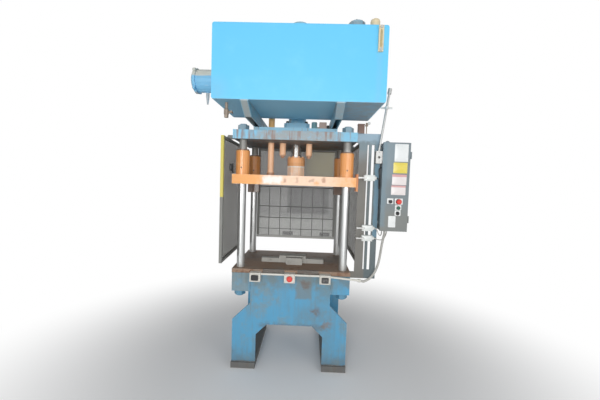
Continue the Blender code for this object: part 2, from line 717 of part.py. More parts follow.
def build_bed(root):
    """The bed plate with two stepped strips on its front edge, and the die block on it."""
    half_x = 0.5 * BED_WIDTH
    bed = add_box("bed_plate", (-half_x, FRONT_Y, BED_BOTTOM), (half_x, -FRONT_Y, BED_TOP_HEIGHT), root,
                  "rusty_steel")
    face = FRONT_Y - STRIP_STANDOFF
    strip_outline = [
        (FRONT_Y + WELD_SINK, BED_BOTTOM + STRIP_RIB_DEPTH), (face, BED_BOTTOM + STRIP_RIB_DEPTH),
        (face, BED_BOTTOM + 0.28 * BED_THICKNESS),
        (face + STRIP_RIB_DEPTH, BED_BOTTOM + 0.34 * BED_THICKNESS),
        (face + STRIP_RIB_DEPTH, BED_BOTTOM + 0.48 * BED_THICKNESS),
        (face, BED_BOTTOM + 0.54 * BED_THICKNESS),
        (face, BED_BOTTOM + 0.76 * BED_THICKNESS),
        (face + STRIP_RIB_DEPTH, BED_BOTTOM + 0.82 * BED_THICKNESS),
        (face + STRIP_RIB_DEPTH, BED_TOP_HEIGHT + STRIP_RISE),
        (FRONT_Y + STRIP_STANDOFF, BED_TOP_HEIGHT + STRIP_RISE),
        (FRONT_Y + STRIP_STANDOFF, BED_TOP_HEIGHT - WELD_SINK),
        (FRONT_Y + WELD_SINK, BED_TOP_HEIGHT - WELD_SINK),
    ]
    for side in (-1.0, 1.0):
        centre = side * 0.5 * STRIP_PITCH
        strip = add_prism("bed_strip", strip_outline, "X", centre - 0.5 * STRIP_LENGTH,
                          centre + 0.5 * STRIP_LENGTH, root)
        join(bed, strip)
    bore_radius = 0.5 * POST_END_DIAMETER + SEAT_GAP
    for name, side, row, place in four_corners():
        bore = add_turned("bed_bore_" + name,
                          rod_profile(bore_radius, BED_BOTTOM - CUT_OVERRUN, BED_TOP_HEIGHT + CUT_OVERRUN),
                          (place[0], place[1], 0.0), root)
        cut(bed, bore)
    floor = BED_TOP_HEIGHT + SEAT_GAP
    rear = DIE_BLOCK_SETBACK - 0.5 * DIE_BLOCK_DEPTH - 0.5 * DIE_RAIL_DEPTH
    block = add_box("die_block", (-0.5 * DIE_BLOCK_WIDTH, rear - DIE_BLOCK_DEPTH, floor),
                    (0.5 * DIE_BLOCK_WIDTH, rear, floor + DIE_BLOCK_HEIGHT), root, "steel")
    nose_front = rear - DIE_BLOCK_DEPTH - DIE_NOSE_DEPTH
    nose = add_box("die_nose", (DIE_NOSE_OFFSET - 0.5 * DIE_NOSE_WIDTH, nose_front, floor),
                   (DIE_NOSE_OFFSET + 0.5 * DIE_NOSE_WIDTH, rear - DIE_BLOCK_DEPTH + WELD_SINK,
                    floor + DIE_BLOCK_HEIGHT - DIE_NOSE_DROP), root)
    rails = add_box("die_rails", (-0.5 * DIE_RAIL_SPREAD, rear - DIE_BLOCK_DEPTH + WELD_SINK, floor),
                    (0.5 * DIE_RAIL_SPREAD, rear - DIE_BLOCK_DEPTH + WELD_SINK + DIE_RAIL_DEPTH,
                     floor + DIE_RAIL_HEIGHT), root)
    join(block, nose, rails)
    groove_half = 0.5 * DIE_NOSE_WIDTH - DIE_NOSE_DROP
    groove = add_box("die_groove",
                     (DIE_NOSE_OFFSET - groove_half, nose_front - CUT_OVERRUN, floor - CUT_OVERRUN),
                     (DIE_NOSE_OFFSET - groove_half + DIE_NOSE_DROP, nose_front + DIE_NOSE_DROP,
                      floor + DIE_BLOCK_HEIGHT), root)
    cut(block, groove)


def build_posts(root):
    """Four stepped posts, each with its nut under the housing and its nut on the crown."""
    radius = 0.5 * POST_DIAMETER
    end_radius = 0.5 * POST_END_DIAMETER
    flat = 0.5 * POST_NUT_ACROSS_FLATS
    lower_nut_top = BASE_TOP - HOUSING_HEIGHT - SEAT_GAP
    upper_nut_low = CROWN_TOP + SEAT_GAP
    shoulder_low = BED_TOP_HEIGHT + SEAT_GAP
    shoulder_top = CROWN_BOTTOM_HEIGHT - SEAT_GAP
    lower_nut_low = lower_nut_top - POST_NUT_HEIGHT
    upper_nut_top = upper_nut_low + POST_NUT_HEIGHT
    profile = [
        (0.0, lower_nut_low - POST_END_STUB), (end_radius, lower_nut_low - POST_END_STUB),
        (end_radius, lower_nut_low), (flat, lower_nut_low, 6), (flat, lower_nut_top, 6),
        (end_radius, lower_nut_top), (end_radius, shoulder_low),
        (radius, shoulder_low), (radius, shoulder_top),
        (end_radius, shoulder_top), (end_radius, upper_nut_low),
        (flat, upper_nut_low, 6), (flat, upper_nut_top, 6), (end_radius, upper_nut_top),
        (end_radius, upper_nut_top + POST_END_STUB), (0.0, upper_nut_top + POST_END_STUB),
    ]
    for name, side, row, place in four_corners():
        add_turned("post_" + name, profile, (place[0], place[1], 0.0), root, "chrome")


def build_crown(root):
    """The crown plate and the raised plate that carries the cylinder and the tank beams."""
    crown = add_box("crown_plate", (-CROWN_END_X, -0.5 * CROWN_DEPTH, CROWN_BOTTOM_HEIGHT),
                    (CROWN_END_X, 0.5 * CROWN_DEPTH, CROWN_TOP), root, "frame_blue")
    top = add_box("top_plate", (-0.5 * TOP_PLATE_WIDTH, -0.5 * TOP_PLATE_DEPTH, TOP_PLATE_BOTTOM),
                  (0.5 * TOP_PLATE_WIDTH, 0.5 * TOP_PLATE_DEPTH, TOP_PLATE_TOP), root, "frame_blue")
    bore_radius = 0.5 * POST_END_DIAMETER + SEAT_GAP
    low = CROWN_BOTTOM_HEIGHT - CUT_OVERRUN
    for name, side, row, place in four_corners():
        bore = add_turned("crown_bore_" + name, rod_profile(bore_radius, low, CROWN_TOP + CUT_OVERRUN),
                          (place[0], place[1], 0.0), root)
        cut(crown, bore)
    passages = (
        ("ram", 0.5 * RAM_DIAMETER + ROD_PASSAGE_CLEARANCE, 0.0, 0.0),
        ("stop_rod", 0.5 * STOP_ROD_DIAMETER + ROD_PASSAGE_CLEARANCE, STOP_ROD_X, ROD_LINE_Y),
    )
    for name, radius, x, y in passages:
        crown_hole = add_turned("crown_hole_" + name, rod_profile(radius, low, CROWN_TOP + CUT_OVERRUN),
                                (x, y, 0.0), root)
        cut(crown, crown_hole)
        top_hole = add_turned("top_hole_" + name,
                              rod_profile(radius, TOP_PLATE_BOTTOM - CUT_OVERRUN,
                                          TOP_PLATE_TOP + CUT_OVERRUN),
                              (x, y, 0.0), root)
        cut(top, top_hole)
    body = 0.5 * KNOCKOUT_DIAMETER
    tip = 0.5 * KNOCKOUT_TIP_DIAMETER
    start = CROWN_BOTTOM_HEIGHT - SEAT_GAP
    end = start - KNOCKOUT_LENGTH
    profile = [
        (0.0, end - KNOCKOUT_TIP_LENGTH), (0.6 * tip, end - KNOCKOUT_TIP_LENGTH),
        (tip, end - 0.6 * KNOCKOUT_TIP_LENGTH), (tip, end),
        (body, end), (body, start), (0.0, start),
    ]
    for name, side in (("left", -1.0), ("right", 1.0)):
        add_turned("knockout_stop_" + name, profile, (side * 0.5 * KNOCKOUT_SPACING, ROD_LINE_Y, 0.0), root,
                   "orange", SMALL_SIDES)


def build_cylinder(root):
    """The cylinder standing on the top plate: a capped barrel welded to a square head."""
    head_low = TOP_PLATE_TOP + SEAT_GAP
    head_top = head_low + CYLINDER_HEAD_HEIGHT
    half = 0.5 * CYLINDER_HEAD_WIDTH
    corner = half - CYLINDER_HEAD_CORNER
    outline = [
        (half, -corner), (half, corner), (corner, half), (-corner, half),
        (-half, corner), (-half, -corner), (-corner, -half), (corner, -half),
    ]
    cylinder = add_prism("cylinder", outline, "Z", head_low, head_top, root, "frame_blue")
    gland = add_turned("cylinder_gland", rod_profile(0.5 * RAM_DIAMETER + RUNNING_CLEARANCE,
                                                     head_low - CUT_OVERRUN, head_top + CUT_OVERRUN),
                       (0.0, 0.0, 0.0), root, None, LARGE_SIDES)
    cut(cylinder, gland)
    outer = 0.5 * CYLINDER_DIAMETER
    bore = 0.5 * CYLINDER_BORE
    low = head_top - WELD_SINK
    top = CYLINDER_TOP_HEIGHT
    ledge = top - CYLINDER_CAP_THICKNESS
    profile = [
        (0.0, top), (outer - CYLINDER_CAP_CHAMFER, top), (outer, top - CYLINDER_CAP_CHAMFER),
        (outer, ledge + CYLINDER_CAP_CHAMFER), (outer - 0.5 * CYLINDER_CAP_CHAMFER, ledge),
        (outer, ledge - CYLINDER_CAP_CHAMFER), (outer, low), (bore, low), (bore, ledge), (0.0, ledge),
    ]
    barrel = add_turned("cylinder_barrel", profile, (0.0, 0.0, 0.0), root, None, LARGE_SIDES)
    join(cylinder, barrel)


def build_ram(carriage):
    """Everything that moves with the ram: rod, coupling, platen, guides, stop rod and trip tab."""
    block_low = PLATEN_TOP + SEAT_GAP
    block_top = block_low + COUPLING_BLOCK_HEIGHT
    flange_low = block_top + SEAT_GAP
    flange_top = flange_low + RAM_FLANGE_THICKNESS
    ring_low = flange_top + SEAT_GAP
    ring_top = ring_low + COUPLING_RING_THICKNESS
    radius = 0.5 * RAM_DIAMETER
    flange = 0.5 * COUPLING_DIAMETER
    piston = 0.5 * CYLINDER_BORE - RUNNING_CLEARANCE
    piston_top = CYLINDER_TOP_HEIGHT - CYLINDER_CAP_THICKNESS - CYLINDER_CAP_CHAMFER
    piston_low = piston_top - PISTON_HEIGHT
    add_turned("ram_rod", [
        (0.0, flange_low), (flange, flange_low), (flange, flange_top), (radius, flange_top),
        (radius, piston_low), (piston, piston_low), (piston, piston_top), (0.0, piston_top),
    ], (0.0, 0.0, 0.0), carriage, "chrome", LARGE_SIDES)

    bore = radius + RUNNING_CLEARANCE
    ring = add_turned("coupling_ring", [
        (bore, ring_low), (flange, ring_low), (flange, ring_top - COUPLING_CHAMFER),
        (flange - COUPLING_CHAMFER, ring_top), (bore, ring_top),
    ], (0.0, 0.0, 0.0), carriage, "orange", LARGE_SIDES)
    block_radius = 0.5 * COUPLING_BLOCK_DIAMETER
    block = add_turned("coupling_block", [
        (0.0, block_low), (block_radius, block_low), (block_radius, block_top), (0.0, block_top),
    ], (0.0, 0.0, 0.0), carriage, "orange", LARGE_SIDES)
    bolt_circle = 0.5 * (bore + flange)
    groove_radius = 0.5 * COUPLING_GROOVE_DIAMETER
    bolt_flat = 0.5 * COUPLING_BOLT_DIAMETER
    for index in range(COUPLING_BOLT_COUNT):
        angle = 2.0 * math.pi * (index + 0.5) / COUPLING_BOLT_COUNT
        head = add_turned("coupling_bolt", [
            (0.0, ring_top - WELD_SINK), (bolt_flat, ring_top - WELD_SINK),
            (bolt_flat, ring_top + COUPLING_BOLT_HEAD), (0.0, ring_top + COUPLING_BOLT_HEAD),
        ], (bolt_circle * math.cos(angle), bolt_circle * math.sin(angle), 0.0), carriage, None, BOLT_SIDES)
        join(ring, head)
        groove = add_turned("coupling_groove", rod_profile(groove_radius, block_low + COUPLING_BOLT_HEAD,
                                                           block_top + CUT_OVERRUN),
                            (block_radius * math.cos(angle), block_radius * math.sin(angle), 0.0),
                            carriage, None, LUG_SIDES)
        cut(block, groove)

    half_x = PLATEN_END_X
    half_y = 0.5 * PLATEN_DEPTH
    platen = add_box("platen", (-half_x, -half_y, PLATEN_BOTTOM_HEIGHT), (half_x, half_y, PLATEN_TOP),
                     carriage, "orange")
    spigot = 0.5 * BUSHING_SPIGOT_DIAMETER
    post_bore = 0.5 * POST_DIAMETER + RUNNING_CLEARANCE
    collar = 0.5 * BUSHING_DIAMETER
    collar_low = PLATEN_TOP + SEAT_GAP
    collar_top = collar_low + BUSHING_HEIGHT
    neck = collar_top - BUSHING_WIPER_HEIGHT
    for name, side, row, place in four_corners():
        seat = add_turned("platen_bore_" + name,
                          rod_profile(spigot + SEAT_GAP, PLATEN_BOTTOM_HEIGHT - CUT_OVERRUN,
                                      PLATEN_TOP + CUT_OVERRUN),
                          (place[0], place[1], 0.0), carriage)
        cut(platen, seat)
        spigot_low = PLATEN_BOTTOM_HEIGHT + SEAT_GAP
        if row > 0.0:
            spigot_low = PLATEN_BOTTOM_HEIGHT - 2.0 * SEAT_GAP - WELD_SINK
        bushing = add_turned("guide_bushing_" + name, [
            (post_bore, spigot_low), (spigot, spigot_low), (spigot, collar_low), (collar, collar_low),
            (collar, neck - BUSHING_CHAMFER), (collar - BUSHING_CHAMFER, neck),
            (collar - 2.0 * BUSHING_CHAMFER, neck), (collar - 2.0 * BUSHING_CHAMFER, collar_top),
            (post_bore, collar_top),
        ], (place[0], place[1], 0.0), carriage, "orange")
        if row > 0.0:
            block_high = PLATEN_BOTTOM_HEIGHT - SEAT_GAP
            low_z = block_high - WIPER_BLOCK_HEIGHT
            reach = 0.5 * WIPER_BLOCK_WIDTH
            wiper = add_box("wiper_block_" + name, (place[0] - reach, place[1] - reach, low_z),
                            (place[0] + reach, place[1] + reach, block_high), carriage)
            passage = add_turned("wiper_bore_" + name,
                                 rod_profile(post_bore, low_z - CUT_OVERRUN, block_high + CUT_OVERRUN),
                                 (place[0], place[1], 0.0), carriage)
            cut(wiper, passage)
            join(bushing, wiper)
    tab_front = -half_y
    add_box("trip_tab", (half_x + SEAT_GAP, tab_front, PLATEN_BOTTOM_HEIGHT - TRIP_TAB_DROP),
            (half_x + SEAT_GAP + TRIP_TAB_THICKNESS, tab_front + TRIP_TAB_DEPTH, PLATEN_TOP + TRIP_TAB_RISE),
            carriage, "orange")
    rod = 0.5 * STOP_ROD_DIAMETER
    socket = 0.5 * STOP_ROD_SOCKET_DIAMETER
    socket_top = block_low + STOP_ROD_SOCKET_HEIGHT
    add_turned("stop_rod", [
        (0.0, block_low), (socket, block_low), (socket, socket_top), (rod, socket_top),
        (rod, STOP_ROD_TOP_HEIGHT - STOP_ROD_CHAMFER), (rod - STOP_ROD_CHAMFER, STOP_ROD_TOP_HEIGHT),
        (0.0, STOP_ROD_TOP_HEIGHT),
    ], (STOP_ROD_X, ROD_LINE_Y, 0.0), carriage, "orange")


def build_beams(root):
    """Two inverted channels from the crown's top plate out under the tank, mitred in front."""
    high = TANK_BOTTOM_HEIGHT - SEAT_GAP
    low = TOP_PLATE_TOP + SEAT_GAP
    for name, side in (("left", -1.0), ("right", 1.0)):
        outer = side * 0.5 * BEAM_SPREAD
        inner = side * (0.5 * BEAM_SPREAD - BEAM_WIDTH)
        outer_wall = side * (0.5 * BEAM_SPREAD - BEAM_WALL)
        inner_wall = side * (0.5 * BEAM_SPREAD - BEAM_WIDTH + BEAM_WALL)
        outline = [
            (outer, low), (outer, high), (inner, high), (inner, low),
            (inner_wall, low), (inner_wall, high - BEAM_WALL), (outer_wall, high - BEAM_WALL),
            (outer_wall, low),
        ]
        beam = add_prism("tank_beam_" + name, outline, "Y", TANK_FRONT_Y, BEAM_REAR_REACH, root, "frame_blue")
        low_x, high_x = sorted((outer, inner))
        mitre = add_prism("beam_mitre_" + name, [
            (TANK_FRONT_Y - CUT_OVERRUN, low - CUT_OVERRUN),
            (TANK_FRONT_Y + BEAM_MITRE + CUT_OVERRUN, low - CUT_OVERRUN),
            (TANK_FRONT_Y + BEAM_MITRE, low),
            (TANK_FRONT_Y, high - BEAM_WALL),
            (TANK_FRONT_Y - CUT_OVERRUN, high - BEAM_WALL),
        ], "X", low_x - CUT_OVERRUN, high_x + CUT_OVERRUN, root)
        cut(beam, mitre)
        slope_end = TANK_FRONT_Y + BEAM_MITRE
        low_wall, high_wall = sorted((outer_wall, inner_wall))
        end_plate = add_prism("beam_end_plate_" + name, [
            (TANK_FRONT_Y, high - BEAM_WALL), (slope_end, low), (slope_end + 2.0 * BEAM_WALL, low),
            (TANK_FRONT_Y + 2.0 * BEAM_WALL, high - BEAM_WALL + WELD_SINK),
            (TANK_FRONT_Y, high - BEAM_WALL + WELD_SINK),
        ], "X", low_wall - WELD_SINK, high_wall + WELD_SINK, root)
        join(beam, end_plate)


def rounded_outline(low_x, low_z, high_x, high_z, radius):
    """A rectangle in two axes with two-step rounded corners."""
    points = []
    corners = (
        (high_x - radius, low_z + radius, -0.5 * math.pi),
        (high_x - radius, high_z - radius, 0.0),
        (low_x + radius, high_z - radius, 0.5 * math.pi),
        (low_x + radius, low_z + radius, math.pi),
    )
    for x, z, start in corners:
        for step in range(3):
            angle = start + 0.5 * math.pi * step / 2.0
            points.append((x + radius * math.cos(angle), z + radius * math.sin(angle)))
    return points


def build_tank(root):
    """The oil tank: a folded shell and its cover, with filler neck, strainer, gauge and drain valve."""
    shell = rounded_outline(TANK_LEFT_X, TANK_BOTTOM_HEIGHT, TANK_RIGHT_X, TANK_TOP, TANK_CORNER_RADIUS)
    tank = add_prism("tank_body", shell, "Y", TANK_FRONT_Y, TANK_REAR_Y, root, "tank_blue")
    hollow = rounded_outline(TANK_LEFT_X + TANK_WALL, TANK_BOTTOM_HEIGHT + TANK_WALL,
                             TANK_RIGHT_X - TANK_WALL,
                             TANK_TOP - TANK_WALL, TANK_CORNER_RADIUS - TANK_WALL)
    inside = add_prism("tank_hollow", hollow, "Y", TANK_FRONT_Y + TANK_WALL, TANK_REAR_Y - TANK_WALL, root)
    cut(tank, inside)
    seam = TANK_TOP - TANK_WALL - SEAT_GAP
    cover_space = add_box("tank_cover_space", (TANK_LEFT_X - CUT_OVERRUN, TANK_FRONT_Y - CUT_OVERRUN, seam),
                          (TANK_RIGHT_X + CUT_OVERRUN, TANK_REAR_Y + CUT_OVERRUN, TANK_TOP + CUT_OVERRUN),
                          root)
    cut(tank, cover_space)
    cover = add_prism("tank_cover", shell, "Y", TANK_FRONT_Y, TANK_REAR_Y, root, "tank_blue")
    shell_space = add_box("tank_shell_space",
                          (TANK_LEFT_X - CUT_OVERRUN, TANK_FRONT_Y - CUT_OVERRUN,
                           TANK_BOTTOM_HEIGHT - CUT_OVERRUN),
                          (TANK_RIGHT_X + CUT_OVERRUN, TANK_REAR_Y + CUT_OVERRUN, seam + SEAT_GAP), root)
    cut(cover, shell_space)
    filler_y = TANK_FRONT_Y + FILLER_SETBACK
    neck = add_turned("filler_neck",
                      rod_profile(0.5 * FILLER_NECK_DIAMETER, TANK_TOP - 0.5 * TANK_WALL,
                                  TANK_TOP + FILLER_NECK_HEIGHT), (FILLER_X, filler_y, 0.0), root)
    join(cover, neck)
    neck_bore = add_turned("filler_bore",
                           rod_profile(0.5 * FILLER_NECK_DIAMETER - FILLER_NECK_WALL,
                                       TANK_TOP - TANK_WALL - CUT_OVERRUN,
                                       TANK_TOP + FILLER_NECK_HEIGHT + CUT_OVERRUN),
                           (FILLER_X, filler_y, 0.0), root)
    strainer_y = TANK_FRONT_Y + STRAINER_SETBACK
    strainer_hole = add_turned("strainer_hole",
                               rod_profile(0.5 * STRAINER_HOLE_DIAMETER, TANK_TOP - TANK_WALL - CUT_OVERRUN,
                                           TANK_TOP + CUT_OVERRUN), (STRAINER_X, strainer_y, 0.0), root)
    motor_hole = add_turned("motor_hole",
                            rod_profile(0.5 * MOTOR_SHAFT_DIAMETER + ROD_PASSAGE_CLEARANCE,
                                        TANK_LEFT_X - CUT_OVERRUN, TANK_LEFT_X + TANK_WALL + CUT_OVERRUN),
                            (0.0, MOTOR_Y, MOTOR_AXIS_HEIGHT), root, None, ROUND_SIDES, TURN_TO_X)
    drain_y = TANK_FRONT_Y + DRAIN_SETBACK
    drain_hole = add_turned("drain_hole",
                            rod_profile(0.5 * DRAIN_PIPE_DIAMETER - 2.0 * WELD_SINK,
                                        TANK_BOTTOM_HEIGHT - CUT_OVERRUN,
                                        TANK_BOTTOM_HEIGHT + TANK_WALL + CUT_OVERRUN),
                            (DRAIN_X, drain_y, 0.0), root, None, SMALL_SIDES)
    cut(cover, neck_bore, strainer_hole)
    cut(tank, motor_hole, drain_hole)

    lid_low = TANK_TOP + SEAT_GAP
    lid_radius = 0.5 * STRAINER_DIAMETER
    add_turned("strainer_lid", [
        (0.0, lid_low), (lid_radius, lid_low), (lid_radius, lid_low + STRAINER_HEIGHT - STRAINER_LID_CROWN),
        (0.8 * lid_radius, lid_low + STRAINER_HEIGHT - 0.25 * STRAINER_LID_CROWN),
        (0.0, lid_low + STRAINER_HEIGHT),
    ], (STRAINER_X, strainer_y, 0.0), root, "frame_blue")

    cap_inner = 0.5 * FILLER_NECK_DIAMETER + RUNNING_CLEARANCE
    cap_outer = 0.5 * FILLER_CAP_DIAMETER
    cap_low = TANK_TOP + SEAT_GAP
    cap_top = cap_low + FILLER_CAP_HEIGHT
    ceiling = TANK_TOP + FILLER_NECK_HEIGHT + SEAT_GAP
    add_turned("filler_cap", [
        (0.0, cap_top), (0.5 * cap_outer, cap_top - 0.3 * FILLER_CAP_WALL),
        (0.85 * cap_outer, cap_top - 2.0 * FILLER_CAP_WALL), (cap_outer, cap_top - 5.0 * FILLER_CAP_WALL),
        (cap_outer, cap_low), (cap_inner, cap_low), (cap_inner, ceiling), (0.0, ceiling),
    ], (FILLER_X, filler_y, 0.0), root, "tan")

    gauge_y = TANK_FRONT_Y - SEAT_GAP
    gauge_top = TANK_TOP - GAUGE_DROP
    gauge = add_box("level_gauge", (GAUGE_X - 0.5 * GAUGE_WIDTH, gauge_y - GAUGE_THICKNESS,
                                    gauge_top - GAUGE_LENGTH),
                    (GAUGE_X + 0.5 * GAUGE_WIDTH, gauge_y, gauge_top), root, "tan", None, WELD_SINK)
    window = add_box("gauge_window",
                     (GAUGE_X - 0.5 * GAUGE_WINDOW_WIDTH, gauge_y - GAUGE_THICKNESS - CUT_OVERRUN,
                      gauge_top - GAUGE_LENGTH + GAUGE_WIDTH),
                     (GAUGE_X + 0.5 * GAUGE_WINDOW_WIDTH, gauge_y - GAUGE_THICKNESS + GAUGE_WINDOW_DEPTH,
                      gauge_top - GAUGE_WIDTH), root)
    cut(gauge, window)

    pipe = 0.5 * DRAIN_PIPE_DIAMETER
    body = 0.5 * DRAIN_BODY_DIAMETER
    pipe_top = TANK_BOTTOM_HEIGHT - SEAT_GAP
    body_top = pipe_top - DRAIN_PIPE_LENGTH
    body_low = body_top - DRAIN_BODY_LENGTH
    valve = add_turned("drain_valve", [
        (0.0, body_low), (1.25 * pipe, body_low, 6), (1.25 * pipe, body_low + 0.3 * DRAIN_BODY_LENGTH, 6),
        (body, body_low + 0.4 * DRAIN_BODY_LENGTH), (body, body_low + 0.8 * DRAIN_BODY_LENGTH),
        (1.2 * pipe, body_top), (pipe, body_top), (pipe, pipe_top), (0.0, pipe_top),
    ], (DRAIN_X, drain_y, 0.0), root, "bronze", SMALL_SIDES)
    stem_z = body_low + 0.6 * DRAIN_BODY_LENGTH
    boss = add_turned("drain_boss", rod_profile(0.5 * DRAIN_STEM_DIAMETER, DRAIN_X,
                                                DRAIN_X + body + DRAIN_STEM_LENGTH),
                      (0.0, drain_y, stem_z), root, None, SMALL_SIDES, TURN_TO_X)
    join(valve, boss)
    handle_x = DRAIN_X + body + DRAIN_STEM_LENGTH + SEAT_GAP
    add_box("drain_handle", (handle_x, drain_y - 0.5 * DRAIN_HANDLE_LENGTH, stem_z - DRAIN_HANDLE_THICKNESS),
            (handle_x + DRAIN_HANDLE_THICKNESS, drain_y + 0.5 * DRAIN_HANDLE_LENGTH,
             stem_z + DRAIN_HANDLE_THICKNESS), root, "bronze", (handle_x, drain_y, stem_z), WELD_SINK)


def build_motor(root, spindle):
    """The pump motor: ribbed shell, bolted end bell, spindle and the pump inside the tank."""
    flange_face = TANK_LEFT_X - SEAT_GAP
    flange_x = flange_face - MOTOR_FLANGE_THICKNESS
    shell_end = flange_x - MOTOR_LENGTH
    outer = 0.5 * MOTOR_DIAMETER
    inner = outer - MOTOR_SHELL
    flange = 0.5 * MOTOR_FLANGE_DIAMETER
    shaft_bore = 0.5 * MOTOR_SHAFT_DIAMETER + RUNNING_CLEARANCE
    place = (0.0, MOTOR_Y, MOTOR_AXIS_HEIGHT)
    body = add_turned("motor_body", [
        (shaft_bore, flange_face), (flange, flange_face), (flange, flange_x), (outer, flange_x),
        (outer, shell_end), (inner, shell_end), (inner, flange_x), (shaft_bore, flange_x),
    ], place, root, "cream", LARGE_SIDES, TURN_TO_X)
    rib_start = shell_end + MOTOR_SHELL
    rib_end = flange_x - MOTOR_SHELL
    for index in range(MOTOR_FIN_COUNT // 4):
        angle = math.pi * (index + 0.5) / (MOTOR_FIN_COUNT // 4) - 0.5 * math.pi
        reach = outer - WELD_SINK
        rib_y = MOTOR_Y - reach * math.cos(angle)
        rib_z = MOTOR_AXIS_HEIGHT + reach * math.sin(angle)
        rib = add_box("motor_rib", (rib_start, rib_y - MOTOR_FIN_HEIGHT, rib_z - MOTOR_FIN_HEIGHT),
                      (rib_end, rib_y + MOTOR_FIN_HEIGHT, rib_z + MOTOR_FIN_HEIGHT), root)
        join(body, rib)
    gland_x = shell_end + MOTOR_GLAND_SHARE * MOTOR_LENGTH
    gland_top = MOTOR_AXIS_HEIGHT - outer + WELD_SINK
    gland_low = MOTOR_AXIS_HEIGHT - outer - MOTOR_GLAND_LENGTH
    gland = add_turned("motor_gland", [
        (0.0, gland_low), (0.5 * MOTOR_GLAND_TIP_DIAMETER, gland_low),
        (0.5 * MOTOR_GLAND_DIAMETER, gland_top - 0.4 * MOTOR_GLAND_LENGTH),
        (0.5 * MOTOR_GLAND_DIAMETER, gland_top), (0.0, gland_top),
    ], (gland_x, MOTOR_Y, 0.0), root, None, SMALL_SIDES)
    join(body, gland)

    bell_face = shell_end - SEAT_GAP
    bell_end = bell_face - MOTOR_BELL_LENGTH
    rim = 0.5 * MOTOR_BELL_DIAMETER
    bell = add_turned("motor_end_bell", [
        (shaft_bore, bell_end), (0.72 * rim, bell_end), (rim, bell_end + 0.45 * MOTOR_BELL_LENGTH),
        (rim, bell_face), (inner, bell_face), (inner, bell_face - 0.4 * MOTOR_BELL_LENGTH),
        (0.66 * outer, bell_end + MOTOR_BELL_WALL), (shaft_bore, bell_end + MOTOR_BELL_WALL),
    ], place, root, "cream", ROUND_SIDES, TURN_TO_X)
    for index in range(4):
        angle = 0.5 * math.pi * (index + 0.5)
        reach = 0.5 * MOTOR_LUG_CIRCLE
        lug = add_turned("motor_lug", rod_profile(0.5 * MOTOR_LUG_DIAMETER,
                                                  bell_face - 0.5 * MOTOR_BELL_LENGTH,
                                                  bell_face - WELD_SINK),
                         (0.0, MOTOR_Y + reach * math.cos(angle),
                          MOTOR_AXIS_HEIGHT + reach * math.sin(angle)),
                         root, None, LUG_SIDES, TURN_TO_X)
        join(bell, lug)
    for index in range(MOTOR_VENT_COUNT):
        rank = index - 0.5 * (MOTOR_VENT_COUNT - 1)
        vent_z = MOTOR_AXIS_HEIGHT + rank * 1.6 * MOTOR_VENT_WIDTH
        if abs(rank) > 0.6:
            vent = add_box("motor_vent", (bell_end - CUT_OVERRUN, MOTOR_Y - 0.5 * MOTOR_VENT_LENGTH,
                                          vent_z - 0.3 * MOTOR_VENT_WIDTH),
                           (bell_end + MOTOR_BELL_WALL + CUT_OVERRUN, MOTOR_Y + 0.5 * MOTOR_VENT_LENGTH,
                            vent_z + 0.3 * MOTOR_VENT_WIDTH), root)
            cut(bell, vent)

    shaft = 0.5 * MOTOR_SHAFT_DIAMETER
    core = 0.5 * MOTOR_ROTOR_DIAMETER
    core_middle = 0.5 * (shell_end + flange_x)
    shaft_tip = TANK_LEFT_X + TANK_WALL + PUMP_LENGTH * 0.25
    add_turned("motor_rotor", [
        (0.0, bell_end + SEAT_GAP), (shaft, bell_end + SEAT_GAP),
        (shaft, core_middle - 0.5 * MOTOR_ROTOR_LENGTH),
        (core, core_middle - 0.5 * MOTOR_ROTOR_LENGTH), (core, core_middle + 0.5 * MOTOR_ROTOR_LENGTH),
        (shaft, core_middle + 0.5 * MOTOR_ROTOR_LENGTH), (shaft, shaft_tip), (0.0, shaft_tip),
    ], (0.0, 0.0, 0.0), spindle, "steel", ROUND_SIDES, TURN_TO_X)
    pump_x = TANK_LEFT_X + TANK_WALL + SEAT_GAP
    half = 0.5 * PUMP_WIDTH
    pump = add_box("pump_body", (pump_x, MOTOR_Y - half, MOTOR_AXIS_HEIGHT - half),
                   (pump_x + PUMP_LENGTH, MOTOR_Y + half, MOTOR_AXIS_HEIGHT + half), root, "steel", None,
                   MOTOR_BELL_WALL)
    socket = add_turned("pump_socket", rod_profile(shaft_bore, pump_x - CUT_OVERRUN,
                                                   shaft_tip + RUNNING_CLEARANCE),
                        place, root, None, ROUND_SIDES, TURN_TO_X)
    cut(pump, socket)


def build_valves(root):
    """The directional valve block and its coil on the top plate."""
    floor = TOP_PLATE_TOP + SEAT_GAP
    block = add_box("valve_block", (VALVE_X - 0.5 * VALVE_WIDTH, VALVE_Y - 0.5 * VALVE_DEPTH, floor),
                    (VALVE_X + 0.5 * VALVE_WIDTH, VALVE_Y + 0.5 * VALVE_DEPTH, floor + VALVE_HEIGHT), root,
                    "brown", None, WELD_SINK)
    coil = add_turned("valve_coil", rod_profile(0.5 * COIL_DIAMETER, floor + WELD_SINK, floor + COIL_LENGTH,
                                                WELD_SINK),
                      (COIL_X, VALVE_Y, 0.0), root)
    bridge = add_box("valve_bridge", (COIL_X, VALVE_Y - 0.25 * COIL_DIAMETER, floor),
                     (VALVE_X, VALVE_Y + 0.25 * COIL_DIAMETER, floor + 0.5 * VALVE_HEIGHT), root)
    join(block, bridge, coil)


